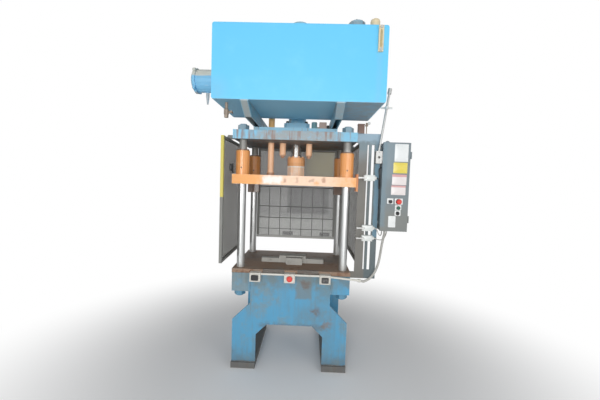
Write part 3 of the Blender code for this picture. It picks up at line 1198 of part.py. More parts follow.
def build_stand(root):
    """The slotted stand plate between crown and bed, with its stiffening return."""
    bed_end = 0.5 * BED_WIDTH + SEAT_GAP
    window_x = STAND_LEFT_X + STAND_WINDOW_WIDTH
    rail_top = STAND_FOOT_HEIGHT + STAND_RAIL_HEIGHT
    head_low = CROWN_TOP - STAND_HEAD_HEIGHT
    outline = [
        (bed_end, STAND_FOOT_HEIGHT), (STAND_RIGHT_X, STAND_FOOT_HEIGHT), (STAND_RIGHT_X, CROWN_TOP),
        (STAND_LEFT_X, CROWN_TOP), (STAND_LEFT_X, head_low), (window_x, head_low - STAND_WINDOW_WIDTH),
        (window_x, rail_top), (bed_end, rail_top),
    ]
    stand = add_prism("switch_stand", outline, "Y", STAND_FRONT_Y, STAND_BACK_Y, root, "frame_blue")
    flange = add_box("stand_return", (STAND_RIGHT_X - STAND_PLATE, STAND_BACK_Y - WELD_SINK,
                                      STAND_FOOT_HEIGHT),
                     (STAND_RIGHT_X, STAND_BACK_Y + STAND_RETURN_DEPTH, CROWN_TOP), root)
    join(stand, flange)
    slots = (("a", STAND_SLOT_A_START, STAND_SLOT_A_WIDTH), ("b", STAND_SLOT_B_START, STAND_SLOT_B_WIDTH))
    for name, start, width in slots:
        slot = add_box("stand_slot_" + name,
                       (STAND_LEFT_X + start, STAND_FRONT_Y - CUT_OVERRUN, rail_top + STAND_SLOT_MARGIN),
                       (STAND_LEFT_X + start + width, STAND_BACK_Y + CUT_OVERRUN,
                        head_low - STAND_SLOT_MARGIN), root)
        cut(stand, slot)


def build_switches(root):
    """Three limit switches on the stand, each with a pivoting roller arm facing the trip tab."""
    tab_face = PLATEN_END_X + SEAT_GAP + TRIP_TAB_THICKNESS
    roller_x = tab_face + ROLLER_CLEARANCE + 0.5 * ROLLER_DIAMETER
    body_left = STAND_LEFT_X + STAND_SLOT_A_START - 0.5 * SWITCH_HEIGHT
    pivot_x = body_left + SWITCH_PIVOT_INSET
    back = STAND_FRONT_Y - SEAT_GAP
    front = back - SWITCH_DEPTH
    arm_back = front - SWITCH_COVER_THICKNESS - SEAT_GAP
    heights = (("upper", SWITCH_UPPER_HEIGHT), ("slow", SWITCH_SLOW_HEIGHT), ("bottom", SWITCH_BOTTOM_HEIGHT))
    for name, height in heights:
        body = add_box("limit_switch_" + name, (body_left, front, height - 0.5 * SWITCH_HEIGHT),
                       (body_left + SWITCH_LENGTH, back, height + 0.5 * SWITCH_HEIGHT), root, "pale_plastic")
        cover = add_box("switch_cover_" + name,
                        (body_left + SWITCH_COVER_THICKNESS, front - SWITCH_COVER_THICKNESS,
                         height - 0.5 * SWITCH_HEIGHT + SWITCH_COVER_THICKNESS),
                        (body_left + SWITCH_LENGTH - SWITCH_COVER_THICKNESS, front + WELD_SINK,
                         height + 0.5 * SWITCH_HEIGHT - SWITCH_COVER_THICKNESS), root)
        gland = add_turned("switch_gland_" + name,
                           rod_profile(0.3 * SWITCH_HEIGHT, body_left + SWITCH_LENGTH - WELD_SINK,
                                       body_left + SWITCH_LENGTH + 0.3 * SWITCH_HEIGHT),
                           (0.0, 0.5 * (front + back), height), root, None, SMALL_SIDES, TURN_TO_X)
        join(body, cover, gland)
        bore = add_turned("switch_bore_" + name,
                          rod_profile(0.5 * ARM_STEM_DIAMETER + SEAT_GAP,
                                      -arm_back - CUT_OVERRUN - ARM_STEM_LENGTH,
                                      -arm_back + CUT_OVERRUN),
                          (pivot_x, 0.0, height), root, None, SMALL_SIDES, TURN_TO_FRONT)
        cut(body, bore)
        pivot = (pivot_x, arm_back, height)
        reach = pivot_x - roller_x
        arm = add_box("switch_arm_" + name, (pivot_x - reach, arm_back - ARM_THICKNESS,
                                             height - 0.5 * ARM_WIDTH),
                      (pivot_x, arm_back, height + 0.5 * ARM_WIDTH), root, "galvanised", pivot)
        hub = add_turned("arm_hub_" + name, rod_profile(0.5 * ARM_HUB_DIAMETER, -arm_back,
                                                        -arm_back + 2.0 * ARM_THICKNESS),
                         (pivot_x, 0.0, height), root, None, SMALL_SIDES, TURN_TO_FRONT)
        stem = add_turned("arm_stem_" + name,
                          rod_profile(0.5 * ARM_STEM_DIAMETER, -arm_back - ARM_STEM_LENGTH,
                                      -arm_back + ARM_THICKNESS),
                          (pivot_x, 0.0, height), root, None, SMALL_SIDES, TURN_TO_FRONT)
        roller = add_turned("arm_roller_" + name,
                            rod_profile(0.5 * ROLLER_DIAMETER, -arm_back - ROLLER_WIDTH,
                                        -arm_back + 0.5 * ARM_THICKNESS),
                            (roller_x, 0.0, height), root, None, SMALL_SIDES, TURN_TO_FRONT)
        join(arm, hub, stem, roller)


def build_toggle(root, lever_pivot):
    """The toggle box on the stand with its conduit going up to a capped fitting."""
    middle_x = STAND_RIGHT_X - 0.5 * TOGGLE_BOX_WIDTH + STAND_PLATE
    back = STAND_FRONT_Y - SEAT_GAP
    front = back - TOGGLE_BOX_DEPTH
    low = TOGGLE_BOX_CENTRE_HEIGHT - 0.5 * TOGGLE_BOX_HEIGHT
    high = low + TOGGLE_BOX_HEIGHT
    box = add_box("toggle_box", (middle_x - 0.5 * TOGGLE_BOX_WIDTH, front, low),
                  (middle_x + 0.5 * TOGGLE_BOX_WIDTH, back, high), root, "galvanised", None, WELD_SINK)
    middle_y = 0.5 * (front + back)
    rise = RISER_TOP_HEIGHT - high
    lean = math.atan2(RISER_LEAN_X, rise)
    length = rise / math.cos(lean)
    riser = add_object("riser_conduit", turned_mesh([
        (0.0, -WELD_SINK * 2.0), (0.5 * RISER_DIAMETER, -WELD_SINK * 2.0),
        (0.5 * RISER_DIAMETER, length - RISER_FITTING_LENGTH),
        (0.5 * RISER_FITTING_DIAMETER, length - RISER_FITTING_LENGTH),
        (0.5 * RISER_FITTING_DIAMETER, length), (0.0, length),
    ], SMALL_SIDES), (middle_x, middle_y, high), root, None, (0.0, lean, 0.0))
    join(box, riser)
    recess = add_turned("toggle_recess", rod_profile(0.5 * TOGGLE_RECESS_DIAMETER,
                                                     -front - TOGGLE_RECESS_DIAMETER,
                                                     -front + CUT_OVERRUN),
                        (middle_x, 0.0, TOGGLE_BOX_CENTRE_HEIGHT), root, None, ROUND_SIDES, TURN_TO_FRONT)
    cut(box, recess)
    ball = 0.5 * TOGGLE_RECESS_DIAMETER - RUNNING_CLEARANCE
    lever_radius = 0.5 * TOGGLE_LEVER_DIAMETER
    profile = []
    for step in range(7):
        angle = -0.5 * math.pi + 0.9 * math.pi * step / 6.0
        radius = ball * math.cos(angle)
        if step == 0:
            radius = 0.0
        profile.append((max(radius, lever_radius) if step else 0.0, ball * math.sin(angle)))
    profile += [(lever_radius, TOGGLE_LEVER_LENGTH), (1.5 * lever_radius, 1.2 * TOGGLE_LEVER_LENGTH),
                (0.0, 1.3 * TOGGLE_LEVER_LENGTH)]
    lever = add_turned("toggle_lever", profile, (0.0, 0.0, 0.0), lever_pivot, "steel", SMALL_SIDES,
                       TURN_TO_FRONT)
    lever_pivot.location = (middle_x, front + 0.5 * TOGGLE_RECESS_DIAMETER, TOGGLE_BOX_CENTRE_HEIGHT)
    return lever


def guard_panel(name, low, high, flat_axis, parent, rows, columns):
    """A framed guard: a square-tube frame with a lattice of crossing flat bars let into it."""
    across = "Y" if flat_axis == "X" else "X"
    index = {"X": 0, "Y": 1}[across]
    flat = {"X": 0, "Y": 1}[flat_axis]
    frame = add_box(name, low, high, parent, "guard_grey")
    opening_low = list(low)
    opening_high = list(high)
    opening_low[index] += GUARD_TUBE
    opening_high[index] -= GUARD_TUBE
    opening_low[2] += GUARD_TUBE
    opening_high[2] -= GUARD_TUBE
    opening_low[flat] -= CUT_OVERRUN
    opening_high[flat] += CUT_OVERRUN
    cut(frame, add_box(name + "_opening", opening_low, opening_high, parent))
    middle = 0.5 * (low[flat] + high[flat])
    span = opening_high[index] - opening_low[index]
    rise = opening_high[2] - opening_low[2]
    bars = []
    for count, size, direction in ((columns, span, index), (rows, rise, 2)):
        for step in range(1, count):
            centre = opening_low[direction] + size * step / count
            bar_low = [0.0, 0.0, 0.0]
            bar_high = [0.0, 0.0, 0.0]
            bar_low[flat] = middle - 0.5 * GUARD_BAR_THICKNESS
            bar_high[flat] = middle + 0.5 * GUARD_BAR_THICKNESS
            other = 2 if direction == index else index
            bar_low[direction] = centre - 0.5 * GUARD_BAR
            bar_high[direction] = centre + 0.5 * GUARD_BAR
            bar_low[other] = opening_low[other] - WELD_SINK
            bar_high[other] = opening_high[other] + WELD_SINK
            bars.append(add_box(name + "_bar", bar_low, bar_high, parent))
    join(frame, *bars)
    return frame


def build_guards(root):
    """Left and right side guards and the rear guard between the rear posts."""
    half = 0.5 * GUARD_TUBE
    left = guard_panel("guard_left", (GUARD_LEFT_X - half, GUARD_FRONT_Y, GUARD_BOTTOM_HEIGHT),
                       (GUARD_LEFT_X + half, GUARD_REAR_Y, GUARD_TOP_HEIGHT), "X", root, GUARD_ROWS,
                       GUARD_COLUMNS)
    lug_low = GUARD_TOP_HEIGHT - GUARD_TUBE
    lug_high = CROWN_BOTTOM_HEIGHT + SEAT_GAP + GUARD_LUG_HEIGHT
    lug_half = 2.0 * GUARD_LUG_THICKNESS
    near = CROWN_END_X + SEAT_GAP
    for row in (-1.0, 1.0):
        lug_y = row * LUG_SPREAD * CROWN_DEPTH
        lug = add_box("guard_lug_left", (GUARD_LEFT_X - half + WELD_SINK, lug_y - lug_half, lug_low),
                      (-near, lug_y + lug_half, lug_high), root)
        join(left, lug)
    right = guard_panel("guard_right", (GUARD_RIGHT_X - half, STAND_BACK_Y + SEAT_GAP, GUARD_BOTTOM_HEIGHT),
                        (GUARD_RIGHT_X + half, GUARD_REAR_Y, GUARD_TOP_HEIGHT), "X", root, GUARD_ROWS,
                        GUARD_COLUMNS - 1)
    lug_y = LUG_SPREAD * CROWN_DEPTH
    lug = add_box("guard_lug_right", (near, lug_y - lug_half, lug_low),
                  (GUARD_RIGHT_X + half - WELD_SINK, lug_y + lug_half, lug_high), root)
    join(right, lug)


def build_rear_guard(root):
    """The rear guard behind the platen, held off the crown's rear face by two lugs."""
    reach = 0.5 * REAR_GUARD_WIDTH
    front = GUARD_REAR_Y - GUARD_TUBE
    panel = guard_panel("guard_rear", (-reach, front, REAR_GUARD_BOTTOM_HEIGHT),
                        (reach, GUARD_REAR_Y, GUARD_TOP_HEIGHT), "Y", root, GUARD_ROWS, GUARD_COLUMNS + 1)
    for side in (-1.0, 1.0):
        centre = side * 0.7 * reach
        lug = add_box("guard_lug_rear", (centre - 2.0 * GUARD_LUG_THICKNESS, 0.5 * CROWN_DEPTH + SEAT_GAP,
                                         GUARD_TOP_HEIGHT - 0.5 * GUARD_TUBE),
                      (centre + 2.0 * GUARD_LUG_THICKNESS, GUARD_REAR_Y - WELD_SINK,
                       CROWN_BOTTOM_HEIGHT + GUARD_LUG_HEIGHT), root)
        join(panel, lug)


def build_control_box(root, hinge, door_axes):
    """The control box, its hinged door and the four operators on the door."""
    low_z = BOX_BOTTOM_HEIGHT
    high_z = low_z + BOX_HEIGHT
    back_y = BOX_FRONT_Y + BOX_DEPTH
    box = add_box("control_box", (BOX_LEFT_X, BOX_FRONT_Y, low_z), (BOX_RIGHT_X, back_y, high_z), root,
                  "box_grey")
    inside = add_box("box_inside", (BOX_LEFT_X + BOX_WALL, BOX_FRONT_Y + BOX_WALL, low_z + BOX_WALL),
                     (BOX_RIGHT_X - BOX_WALL, back_y - BOX_WALL, high_z - BOX_WALL), root)
    mouth = add_box("box_mouth", (BOX_LEFT_X + BOX_RIM, BOX_FRONT_Y - CUT_OVERRUN, low_z + BOX_RIM),
                    (BOX_RIGHT_X - BOX_RIM, BOX_FRONT_Y + BOX_WALL + CUT_OVERRUN, high_z - BOX_RIM), root)
    cut(box, inside, mouth)
    panel_margin = BOX_RIM + BOX_WALL
    panel = add_box("back_panel", (BOX_LEFT_X + panel_margin, back_y - BOX_WALL - BACK_PANEL_THICKNESS,
                                   low_z + panel_margin),
                    (BOX_RIGHT_X - panel_margin, back_y - 0.5 * BOX_WALL, high_z - panel_margin), root)
    tools = [panel]
    middle_x = 0.5 * (BOX_LEFT_X + BOX_RIGHT_X)
    panel_face = back_y - BOX_WALL - BACK_PANEL_THICKNESS
    for rank in (0.2, 0.5, 0.8):
        level = low_z + rank * BOX_HEIGHT
        contactor = add_box("contactor", (middle_x - 0.5 * CONTACTOR_WIDTH, panel_face - CONTACTOR_DEPTH,
                                          level - 0.5 * CONTACTOR_HEIGHT),
                            (middle_x + 0.5 * CONTACTOR_WIDTH, panel_face + WELD_SINK,
                             level + 0.5 * CONTACTOR_HEIGHT), root)
        tools.append(contactor)
    for rank in (0.08, 0.92):
        level = low_z + rank * BOX_HEIGHT
        lug = add_box("box_lug", (STAND_RIGHT_X + SEAT_GAP, STAND_BACK_Y + STAND_PLATE, level - BOX_RIM),
                      (BOX_LEFT_X + 0.5 * BOX_WALL, STAND_BACK_Y + STAND_RETURN_DEPTH, level + BOX_RIM), root)
        tools.append(lug)
    eye_reach = 0.5 * LIFT_EYE_DIAMETER
    eye_x = BOX_LEFT_X + 0.25 * BOX_WIDTH
    eye_y = 0.5 * (BOX_FRONT_Y + back_y)
    eye = add_turned("lift_eye", [
        (eye_reach - LIFT_EYE_WIRE, -0.5 * LIFT_EYE_WIRE), (eye_reach, -0.5 * LIFT_EYE_WIRE),
        (eye_reach, 0.5 * LIFT_EYE_WIRE), (eye_reach - LIFT_EYE_WIRE, 0.5 * LIFT_EYE_WIRE),
    ], (eye_x, eye_y, high_z + 0.3 * eye_reach), root, None, ROUND_SIDES, TURN_TO_FRONT)
    below = add_box("lift_eye_trim", (eye_x - LIFT_EYE_DIAMETER, eye_y - LIFT_EYE_WIRE,
                                      high_z - LIFT_EYE_DIAMETER),
                    (eye_x + LIFT_EYE_DIAMETER, eye_y + LIFT_EYE_WIRE, high_z - 0.5 * BOX_WALL), root)
    cut(eye, below)
    tools.append(eye)

    pin_y = BOX_FRONT_Y - SEAT_GAP - 0.5 * DOOR_THICKNESS
    door_levels = (low_z + HINGE_INSET, high_z - HINGE_INSET)
    for level in door_levels:
        knuckle = add_turned("box_knuckle", rod_profile(HINGE_RADIUS, level - 0.5 * HINGE_LENGTH,
                                                        level - SEAT_GAP),
                             (HINGE_X, pin_y, 0.0), root, None, SMALL_SIDES)
        leaf = add_box("box_leaf", (BOX_RIGHT_X - 0.5 * BOX_WALL, BOX_FRONT_Y + WELD_SINK,
                                    level - 0.5 * HINGE_LENGTH),
                       (HINGE_X + 0.5 * HINGE_RADIUS, BOX_FRONT_Y + 2.0 * BOX_WALL, level - SEAT_GAP), root)
        arm = add_box("box_leaf_arm", (HINGE_X - 0.2 * HINGE_RADIUS, pin_y, level - 0.5 * HINGE_LENGTH),
                      (HINGE_X + 0.5 * HINGE_RADIUS, BOX_FRONT_Y + BOX_WALL, level - SEAT_GAP), root)
        tools += [knuckle, leaf, arm]
    join(box, *tools)

    hinge.location = (HINGE_X, pin_y, 0.0)
    door_back = BOX_FRONT_Y - SEAT_GAP
    door_front = door_back - DOOR_THICKNESS
    origin = (HINGE_X, pin_y, 0.0)
    door = add_box("control_door", (BOX_LEFT_X - DOOR_LIP, door_front, low_z - DOOR_LIP),
                   (DOOR_RIGHT_X, door_back, high_z + DOOR_LIP), hinge, "box_grey", origin, WELD_SINK)
    door.location = (0.0, 0.0, 0.0)
    for level in door_levels:
        knuckle = add_turned("door_knuckle", rod_profile(HINGE_RADIUS, level + SEAT_GAP,
                                                         level + 0.5 * HINGE_LENGTH),
                             (0.0, 0.0, 0.0), hinge, None, SMALL_SIDES)
        leaf = add_box("door_leaf", (DOOR_RIGHT_X - HINGE_X - WELD_SINK, -0.3 * HINGE_RADIUS,
                                     level + SEAT_GAP),
                       (0.0, 0.3 * HINGE_RADIUS, level + 0.5 * HINGE_LENGTH), hinge)
        join(door, knuckle, leaf)

    operators = (
        ("door_button_start", BOX_LEFT_X + 0.335 * BOX_WIDTH, low_z + 0.335 * BOX_HEIGHT, "black"),
        ("door_stop", BOX_LEFT_X + 0.655 * BOX_WIDTH, low_z + 0.336 * BOX_HEIGHT, "red"),
        ("door_button_green", BOX_LEFT_X + 0.645 * BOX_WIDTH, low_z + 0.265 * BOX_HEIGHT, "green"),
        ("door_selector", BOX_LEFT_X + 0.635 * BOX_WIDTH, low_z + 0.202 * BOX_HEIGHT, "black"),
    )
    stem = 0.5 * DOOR_BUTTON_STEM_DIAMETER
    for name, x, z, colour in operators:
        axis = door_axes[name]
        axis.location = (x - HINGE_X, door_front - pin_y, z)
        bore = add_turned(name + "_bore", rod_profile(stem + SEAT_GAP, pin_y - door_back - CUT_OVERRUN,
                                                      pin_y - door_front + CUT_OVERRUN),
                          (x - HINGE_X, 0.0, z), hinge, None, ROUND_SIDES, TURN_TO_FRONT)
        cut(door, bore)
        start = -DOOR_BUTTON_STEM_LENGTH + DOOR_BUTTON_STANDOFF
        face = DOOR_BUTTON_STANDOFF
        if name == "door_stop":
            head = 0.5 * DOOR_STOP_DIAMETER
            profile = [
                (0.0, start), (stem, start), (stem, face), (0.8 * head, face),
                (head, face + 0.35 * DOOR_STOP_HEAD), (0.9 * head, face + 0.75 * DOOR_STOP_HEAD),
                (0.55 * head, face + DOOR_STOP_HEAD), (0.0, face + DOOR_STOP_HEAD),
            ]
        elif name == "door_selector":
            head = 0.5 * DOOR_BUTTON_DIAMETER
            face = SEAT_GAP
            profile = [
                (0.0, start), (stem, start), (stem, face), (head, face),
                (head, face + 0.5 * DOOR_BUTTON_HEAD),
                (0.85 * head, face + 0.7 * DOOR_BUTTON_HEAD), (0.0, face + 0.7 * DOOR_BUTTON_HEAD),
            ]
        else:
            head = 0.5 * DOOR_BUTTON_DIAMETER
            profile = [
                (0.0, start), (stem, start), (stem, face), (head, face),
                (head, face + 0.8 * DOOR_BUTTON_HEAD),
                (0.85 * head, face + DOOR_BUTTON_HEAD), (0.0, face + DOOR_BUTTON_HEAD),
            ]
        button = add_turned(name, profile, (0.0, 0.0, 0.0), axis, colour, ROUND_SIDES, TURN_TO_FRONT)
        if name == "door_selector":
            handle = add_box("selector_handle", (-0.2 * head, -face - 2.0 * DOOR_BUTTON_HEAD, -0.85 * head),
                             (0.2 * head, -face - 0.5 * DOOR_BUTTON_HEAD, 0.85 * head), axis)
            join(button, handle)


def build_button_rail(root, rail_axes):
    """Three push-button boxes on one conduit across the front, with their three operators."""
    back = FRONT_Y - SEAT_GAP
    front = back - RAIL_BOX_DEPTH
    low = RAIL_BOX_CENTRE_HEIGHT - 0.5 * RAIL_BOX_HEIGHT
    high = low + RAIL_BOX_HEIGHT
    places = (("palm_button_left", RAIL_LEFT_X), ("stop_button", RAIL_MIDDLE_X),
              ("palm_button_right", RAIL_RIGHT_X))
    half = 0.5 * RAIL_BOX_WIDTH
    conduit_y = 0.5 * (back + front) - 0.5 * CONDUIT_DIAMETER
    rail = add_turned("button_rail", rod_profile(0.5 * CONDUIT_DIAMETER, RAIL_LEFT_X, RAIL_RIGHT_X),
                      (0.0, conduit_y, CONDUIT_HEIGHT), root, "galvanised", SMALL_SIDES, TURN_TO_X)
    boxes = []
    for name, x in places:
        boxes.append(add_box(name + "_box", (x - half, front, low), (x + half, back, high), root, None, None,
                             WELD_SINK))
    run = CONDUIT_END_X - RAIL_RIGHT_X
    dip = math.atan2(CONDUIT_END_DROP, run)
    length = run / math.cos(dip)
    tail = add_object("rail_tail", turned_mesh([
        (0.0, 0.0), (0.5 * CONDUIT_DIAMETER, 0.0), (0.5 * CONDUIT_DIAMETER, length - GLAND_LENGTH),
        (0.5 * GLAND_DIAMETER, length - GLAND_LENGTH), (0.5 * GLAND_DIAMETER, length), (0.0, length),
    ], SMALL_SIDES), (RAIL_RIGHT_X, conduit_y, CONDUIT_HEIGHT), root, None, (0.0, 0.5 * math.pi + dip, 0.0))
    join(rail, *boxes)
    join(rail, tail)
    stem = 0.5 * RAIL_STEM_DIAMETER
    for name, x in places:
        bore = add_turned(name + "_bore", rod_profile(stem + SEAT_GAP,
                                                      -front - RAIL_STEM_LENGTH - BUTTON_TRAVEL,
                                                      -front + CUT_OVERRUN),
                          (x, 0.0, RAIL_BOX_CENTRE_HEIGHT), root, None, ROUND_SIDES, TURN_TO_FRONT)
        cut(rail, bore)
        axis = rail_axes[name]
        axis.location = (x, front, RAIL_BOX_CENTRE_HEIGHT)
        face = DOOR_BUTTON_STANDOFF
        start = -RAIL_STEM_LENGTH + DOOR_BUTTON_STANDOFF
        if name == "stop_button":
            head = 0.5 * STOP_BUTTON_DIAMETER
            add_turned(name, [
                (0.0, start), (stem, start), (stem, face), (0.85 * head, face),
                (head, face + 0.3 * STOP_BUTTON_THICKNESS), (0.9 * head, face + 0.75 * STOP_BUTTON_THICKNESS),
                (0.55 * head, face + STOP_BUTTON_THICKNESS), (0.0, face + STOP_BUTTON_THICKNESS),
            ], (0.0, 0.0, 0.0), axis, "red", ROUND_SIDES, TURN_TO_FRONT)
        else:
            button = add_box(name, (-0.5 * PALM_WIDTH, -face - PALM_THICKNESS, -0.5 * PALM_HEIGHT),
                             (0.5 * PALM_WIDTH, -face, 0.5 * PALM_HEIGHT), axis, "black", None, PALM_EDGE)
            peg = add_turned(name + "_stem", rod_profile(stem, start, face + PALM_EDGE), (0.0, 0.0, 0.0),
                             axis,
                             None, SMALL_SIDES, TURN_TO_FRONT)
            join(button, peg)


def between(start, end, shares):
    """Points on the way from start to end, each by its shares of the run along X, Y and Z."""
    run = end - start
    return [start + Vector((x * run.x, y * run.y, z * run.z)) for x, y, z in shares]


def build_cables(root):
    """The flexible conduit from the button rail to the control box and the upper switch cable."""
    conduit_y = FRONT_Y - SEAT_GAP - 0.5 * RAIL_BOX_DEPTH - 0.5 * CONDUIT_DIAMETER
    dip = math.atan2(CONDUIT_END_DROP, CONDUIT_END_X - RAIL_RIGHT_X)
    ahead = Vector((math.cos(dip), 0.0, -math.sin(dip)))
    upright = Vector((0.0, 0.0, 1.0))
    start = Vector((CONDUIT_END_X, conduit_y, CONDUIT_HEIGHT - CONDUIT_END_DROP)) + 2.0 * SEAT_GAP * ahead
    end = Vector((BOX_LEFT_X + 0.24 * BOX_WIDTH, BOX_FRONT_Y + 0.25 * BOX_DEPTH,
                  BOX_BOTTOM_HEIGHT - SEAT_GAP))
    knots = [
        start,
        start + 0.7 * FLEX_DIAMETER * ahead,
        start + 1.4 * FLEX_DIAMETER * ahead,
        *between(start, end, CONDUIT_ROUTE),
        end - 1.6 * FLEX_DIAMETER * upright,
        end - 0.8 * FLEX_DIAMETER * upright,
        end,
    ]
    add_tube("flexible_conduit", smooth_route(knots, 1.8 * FLEX_DIAMETER), FLEX_DIAMETER, root, "galvanised")
    body_left = STAND_LEFT_X + STAND_SLOT_A_START - 0.5 * SWITCH_HEIGHT
    gland_x = body_left + SWITCH_LENGTH + 0.3 * SWITCH_HEIGHT + SEAT_GAP
    gland_y = STAND_FRONT_Y - SEAT_GAP - 0.5 * SWITCH_DEPTH
    lead = Vector((SWITCH_CABLE_DIAMETER, 0.0, 0.0))
    cable_start = Vector((gland_x, gland_y, SWITCH_UPPER_HEIGHT))
    cable_end = Vector((BOX_LEFT_X - SEAT_GAP, BOX_FRONT_Y + 0.2 * BOX_DEPTH,
                        BOX_BOTTOM_HEIGHT + 0.72 * BOX_HEIGHT))
    knots = [
        cable_start,
        cable_start + 0.5 * lead,
        cable_start + lead,
        *between(cable_start, cable_end, CABLE_ROUTE),
        cable_end - lead,
        cable_end - 0.5 * lead,
        cable_end,
    ]
    route = smooth_route(knots, 2.6 * SWITCH_CABLE_DIAMETER)
    add_tube("switch_cable", route, SWITCH_CABLE_DIAMETER, root, "black", 1)


def main():
    """Build every piece of the press."""
    clear_scene()
    root = add_empty("press_axes", (-CENTRE_X, -CENTRE_Y, 0.0), None)
    carriage = add_empty("ram_axis", (0.0, 0.0, 0.0), root)
    spindle = add_empty("motor_axis", (0.0, MOTOR_Y, MOTOR_AXIS_HEIGHT), root)
    lever_pivot = add_empty("toggle_axis", (0.0, 0.0, 0.0), root)
    build_base(root)
    build_bed(root)
    build_posts(root)
    build_crown(root)
    build_cylinder(root)
    build_ram(carriage)
    build_beams(root)
    build_tank(root)
    build_motor(root, spindle)
    build_valves(root)
    build_stand(root)
    build_switches(root)
    build_toggle(root, lever_pivot)
    build_guards(root)
    build_rear_guard(root)
    hinge = add_empty("door_axis", (0.0, 0.0, 0.0), root)
    door_axes = {}
    for name in ("door_button_start", "door_stop", "door_button_green", "door_selector"):
        door_axes[name] = add_empty(name + "_axis", (0.0, 0.0, 0.0), hinge)
    build_control_box(root, hinge, door_axes)
    rail_axes = {}
    for name in ("palm_button_left", "stop_button", "palm_button_right"):
        rail_axes[name] = add_empty(name + "_axis", (0.0, 0.0, 0.0), root)
    build_button_rail(root, rail_axes)
    build_cables(root)


main()
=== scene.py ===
"""Looks of the four-post hydraulic press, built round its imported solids.

Lengths are in metres, +Z is up and the front of the press faces -Y. The press's own middle
lies at (AXIS_X, AXIS_Y), where the ram comes down.
"""

import json
import logging
import math
from dataclasses import dataclass, field
from enum import Enum
from functools import partial

import bmesh
import bpy
import numpy as np
from mathutils import Matrix, Vector

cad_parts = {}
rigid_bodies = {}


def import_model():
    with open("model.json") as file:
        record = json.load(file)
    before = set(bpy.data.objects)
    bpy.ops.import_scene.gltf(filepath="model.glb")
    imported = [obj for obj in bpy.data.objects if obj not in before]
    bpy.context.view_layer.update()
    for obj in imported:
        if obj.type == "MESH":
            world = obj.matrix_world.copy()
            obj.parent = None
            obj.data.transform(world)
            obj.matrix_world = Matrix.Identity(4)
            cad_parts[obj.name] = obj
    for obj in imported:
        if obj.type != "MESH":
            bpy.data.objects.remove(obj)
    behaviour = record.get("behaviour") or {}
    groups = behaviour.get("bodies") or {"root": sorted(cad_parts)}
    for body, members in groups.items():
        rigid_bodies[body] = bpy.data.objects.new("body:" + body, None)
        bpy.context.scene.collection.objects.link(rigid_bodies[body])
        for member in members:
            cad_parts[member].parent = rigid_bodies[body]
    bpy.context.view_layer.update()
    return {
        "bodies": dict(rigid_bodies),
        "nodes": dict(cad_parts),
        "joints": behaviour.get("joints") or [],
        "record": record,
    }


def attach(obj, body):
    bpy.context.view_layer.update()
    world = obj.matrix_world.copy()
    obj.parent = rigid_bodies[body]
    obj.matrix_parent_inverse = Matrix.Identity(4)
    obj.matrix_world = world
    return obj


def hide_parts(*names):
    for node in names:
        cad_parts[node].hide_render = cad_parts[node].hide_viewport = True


LOG = logging.getLogger("press")

AXIS_X = -0.0997
AXIS_Y = 0.25115

Array = np.ndarray
Point = Colour = tuple[float, float, float]
Pair = tuple[float, float]
Socket = bpy.types.NodeSocket

WHITE = (1.0, 1.0, 1.0)
CORNER_STEPS = 4
HEAD_CROWN = 0.12
CORNERS = ((-1, -1), (1, -1), (-1, 1), (1, 1))
CORNER_NAMES = ("front_left", "front_right", "rear_left", "rear_right")


def place(x: float, y: float, z: float) -> Array:
    """Turn a point of the press's own axes into the shared frame."""
    return np.array((x + AXIS_X, y + AXIS_Y, z))


class Facing(Enum):
    """The level direction in which a turned or flat piece looks."""

    RIGHT = (1.0, 0.0, 0.0)
    LEFT = (-1.0, 0.0, 0.0)
    REAR = (0.0, 1.0, 0.0)
    FRONT = (0.0, -1.0, 0.0)

    def matrix(self) -> Array:
        """The 3 by 3 turn that takes local +Z this way and keeps local +Y upright."""
        out, up = np.array(self.value), np.array((0.0, 0.0, 1.0))
        return np.column_stack((np.cross(up, out), up, out))


def link(item: bpy.types.Object) -> None:
    """Put an object into the scene."""
    bpy.context.scene.collection.objects.link(item)


